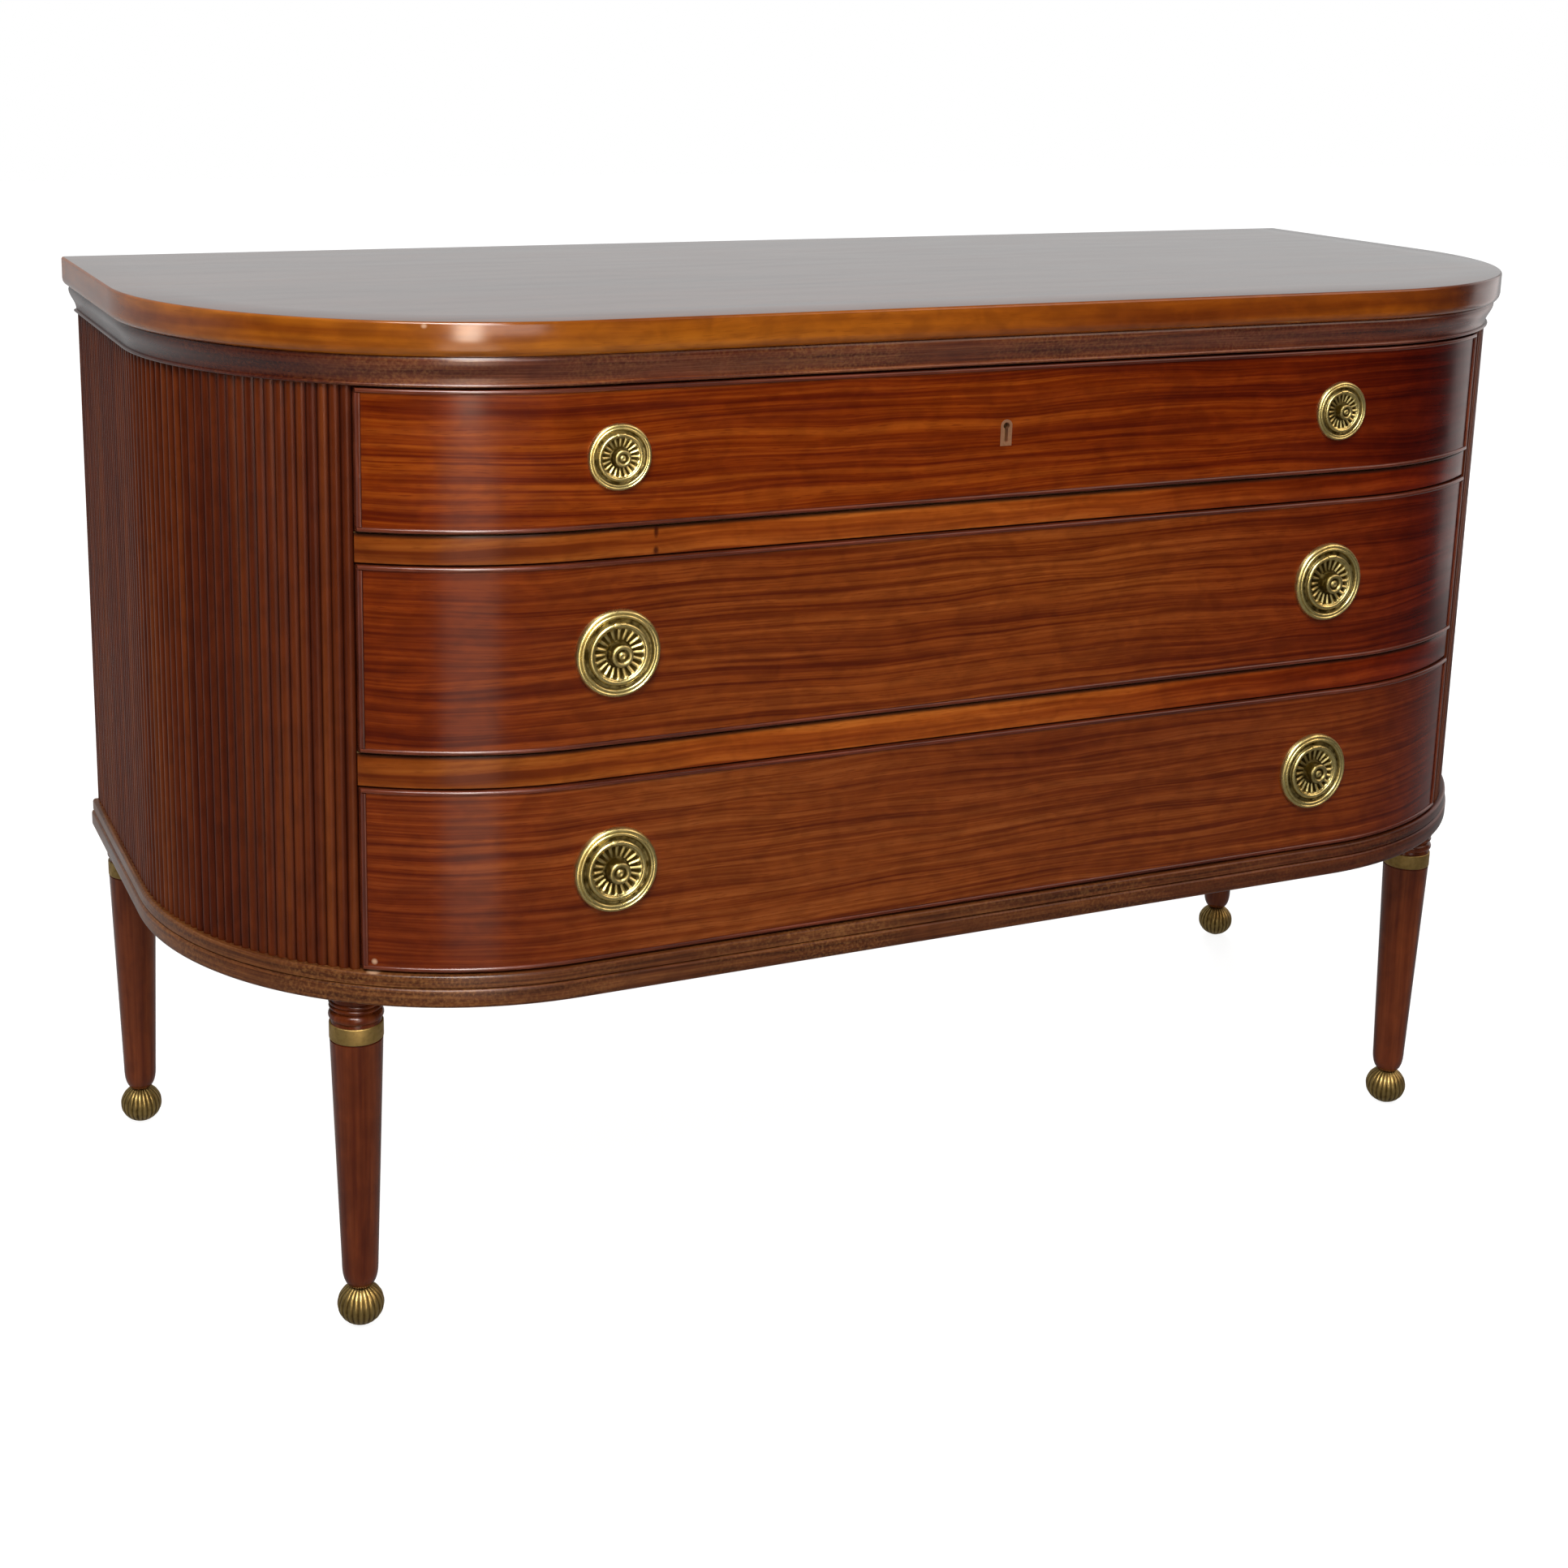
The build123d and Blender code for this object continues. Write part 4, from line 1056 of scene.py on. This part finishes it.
def ring_mesh(centre, pin, thickness):
    """A round bail about centre, open at the top where its ends meet the knuckle."""
    steps, around, slack = 96, 16, 0.4 * MM
    knuckle_share = 0.185
    reach = pin.z - centre.z
    start = math.asin((reach * knuckle_share + slack) / reach)
    turns = [2 * math.pi * part / around for part in range(around)]
    section = [(reach + thickness / 2 * math.cos(turn), thickness / 2 * math.sin(turn))
               for turn in turns]
    angles = [start + (2 * math.pi - 2 * start) * step / steps for step in range(steps + 1)]
    return mesh_from(*skin([[(centre.x + away * math.sin(angle), pin.y - out,
                              centre.z + away * math.cos(angle)) for away, out in section]
                            for angle in angles]))


def make_pulls():
    tree = rosette_tree()
    joints = {joint["name"]: joint for joint in frame["joints"]}
    lying_forward, lying_across = [Matrix.Rotation(math.pi / 2, 4, axis) for axis in "XY"]
    for name in drawers:
        centres, radius = pull_frame(name)
        pin_y, pin_z = joints[f"{name}_pull_ring_left_hinge"]["pos_m"][1:]
        pins = [Vector((centre.x, pin_y, pin_z)) for centre in centres]
        outline = [(reach * radius, height * radius) for reach, height in plate_outline]
        half, end, middle = [share * radius
                             for share in (knuckle_half, knuckle_end, knuckle_middle)]
        barrel = [(0.3 * half, -half), (end, -half), (middle, -0.8 * half),
                  (middle, 0.8 * half), (end, half), (0.3 * half, half)]
        ribs = run_nodes(rib_mesh(radius), tree, {
            "Ribs": rib_count, "Left": centres[0], "Right": centres[1], "Material": brass,
        })
        plates = [lathe(outline, plate_sides, centre, lying_forward) for centre in centres]
        knuckles = [lathe(barrel, knuckle_sides, pin, lying_across) for pin in pins]
        whole = joined(plates + [ribs] + knuckles)
        mark_grime(whole, centres, radius)
        finish_piece(whole, f"{name}_pull_rosettes", brass, f"{name}_drawer",
                     (f"{name}_pull_plates",), 45)
        for side, centre, pin in zip(("left", "right"), centres, pins):
            ring = f"{name}_pull_ring_{side}"
            low, high = span(ring, 1)
            bail = ring_mesh(centre, pin, (high - low) * bail_swell)
            finish_piece(bail, f"{name}_bail_{side}", brass, ring, (ring,), 60)


make_top()
make_mouldings()
make_reeds()
make_rails()
make_drawer_faces()
make_legs()
make_collars_and_feet()
make_pulls()


# Studio: a pale floor, soft lamps and a white background

def ray_kinds(tree):
    """Whether a ray comes from the camera, and whether it was mirrored or came through glass."""
    path = node(tree, "ShaderNodeLightPath").outputs
    mirrored = calculated(tree, "MAXIMUM", path["Is Glossy Ray"], path["Is Transmission Ray"])
    return path["Is Camera Ray"], mirrored


def make_floor():
    reach = 12
    material = bpy.data.materials.new("floor")
    tree = cleared(material)
    direct, mirrored = ray_kinds(tree)
    seen = calculated(tree, "MAXIMUM", direct, mirrored)
    place = coordinates(tree, "Object")
    away = vector_math(tree, "LENGTH", place, output="Value")
    # The floor glows a little less to the camera near the object: a painted faint shade round it
    direct_glow = mapped(tree, away, 0.9, 2.2, 0.9, 1.0)
    mirror_glow = mapped(tree, split_up(tree, place)["Y"], -0.5, 1.2, 0.03, 0.5)
    mirror_tone = mapped(tree, away, 1.9, 3.2, 0.16, 0.04)
    glow = calculated(tree, "ADD", times(tree, direct, direct_glow),
                      times(tree, mirrored, mirror_glow))
    tone = mixed(tree, seen, (0.6, 0.6, 0.6, 1), (0.3, 0.3, 0.3, 1))
    tone = mixed(tree, mirrored, tone, mirror_tone)
    glowing = node(tree, "ShaderNodeEmission", {"Color": white, "Strength": glow})
    matt = node(tree, "ShaderNodeBsdfDiffuse", {"Color": tone})
    both = node(tree, "ShaderNodeAddShader", {0: matt.outputs[0], 1: glowing.outputs[0]})
    node(tree, "ShaderNodeOutputMaterial", {"Surface": both.outputs[0]})
    mesh = mesh_from([(-reach, -reach, 0), (reach, -reach, 0), (reach, reach, 0),
                      (-reach, reach, 0)], [(0, 1, 2, 3)])
    mesh.materials.append(material)
    placed("floor", mesh)


def make_world():
    world = bpy.data.worlds.new("studio")
    bpy.context.scene.world = world
    tree = cleared(world)
    direct, mirrored = ray_kinds(tree)
    direction = split_up(tree, coordinates(tree, "Generated"))
    room = mapped(tree, direction["Y"], -0.2, 0.5, 0.06, 0.5)
    daylight = mapped(tree, direction["X"], -1.0, 1.0, 0.38, 0.29)
    unmirrored = calculated(tree, "SUBTRACT", 1.0, mirrored)
    strength = calculated(tree, "ADD", times(tree, mirrored, room),
                          times(tree, unmirrored, daylight))
    light = node(tree, "ShaderNodeBackground", {
        "Color": white, "Strength": calculated(tree, "MAXIMUM", strength, direct),
    })
    node(tree, "ShaderNodeOutputWorld", {"Surface": light.outputs[0]})


def add_lamp(name, place, target, width, height, power, lights=True, gleams=True,
             colour=(1, 1, 1)):
    """A flat lamp that faces a target. It lights the object, gleams in its polish, or both."""
    lamp = bpy.data.lights.new(name, "AREA")
    lamp.shape = "RECTANGLE"
    lamp.size, lamp.size_y = width, height
    lamp.energy = power
    lamp.color = colour
    holder = placed(name, lamp)
    holder.location = place
    facing_target = (Vector(target) - Vector(place)).to_track_quat("-Z", "Y")
    holder.rotation_euler = facing_target.to_euler()
    holder.visible_camera = False
    holder.visible_diffuse = lights
    holder.visible_glossy = gleams


def add_gleam(*lamp, colour=(1, 1, 1)):
    """A lamp that is only seen mirrored in the polish."""
    add_lamp(*lamp, lights=False, colour=colour)


def make_camera():
    """The photograph's own place and turn, with part of its lens shift."""
    place = (-0.90788, -1.71034, 0.98299)
    azimuth, fall, roll = 0.4213, 0.2219, 0.01904
    ahead = Vector((math.sin(azimuth) * math.cos(fall), math.cos(azimuth) * math.cos(fall),
                    -math.sin(fall)))
    level = Vector((math.cos(azimuth), -math.sin(azimuth), 0))
    upward = level.cross(ahead)
    right = math.cos(roll) * level + math.sin(roll) * upward
    top = -math.sin(roll) * level + math.cos(roll) * upward
    camera = bpy.data.cameras.new("camera")
    camera.lens = 52.15
    camera.sensor_width = 36
    camera.shift_x, camera.shift_y = 0.05, -0.16
    holder = placed("camera", camera)
    turn = Matrix((right, top, -ahead)).transposed().to_4x4()
    holder.matrix_world = Matrix.Translation(place) @ turn
    bpy.context.scene.camera = holder


window_light = (1, 0.86, 0.7)
make_floor()
make_world()
add_lamp("key", (-1.3, -1.9, 3.2), (0, 0, 0.5), 1.4, 1.4, 120)
add_lamp("back fill", (2.0, 2.7, 1.15), (0.2, 0, 0.45), 1.6, 1.6, 70, gleams=False)
add_lamp("low front", (-0.6, -3.4, 1.0), (0, 0, 0.5), 1.2, 1.2, 14)
add_gleam("window gleam", (-0.645, -0.95, 0.28), (-0.645, 0, 0.28), 0.29, 0.56, 1.5,
          colour=window_light)
add_gleam("window head gleam", (-0.645, -0.95, 0.75), (-0.645, 0, 0.75), 0.12, 0.3, 2.2,
          colour=window_light)
add_gleam("side gleam", (2.4, 0.35, 0.8), (0.55, -0.1, 0.5), 1.1, 1.6, 4.4,
          colour=(1, 0.86, 0.82))
add_gleam("window top gleam", (-0.645, -0.95, 1.4), (-0.645, 0, 0.8), 0.29, 1.1, 16)
add_gleam("ceiling gleam", (1.6, -1.5, 2.0), (0.1, -0.2, 0.5), 2.0, 1.5, 24,
          colour=(1, 0.82, 0.7))
make_camera()
bpy.context.scene.view_settings.view_transform = "Standard"
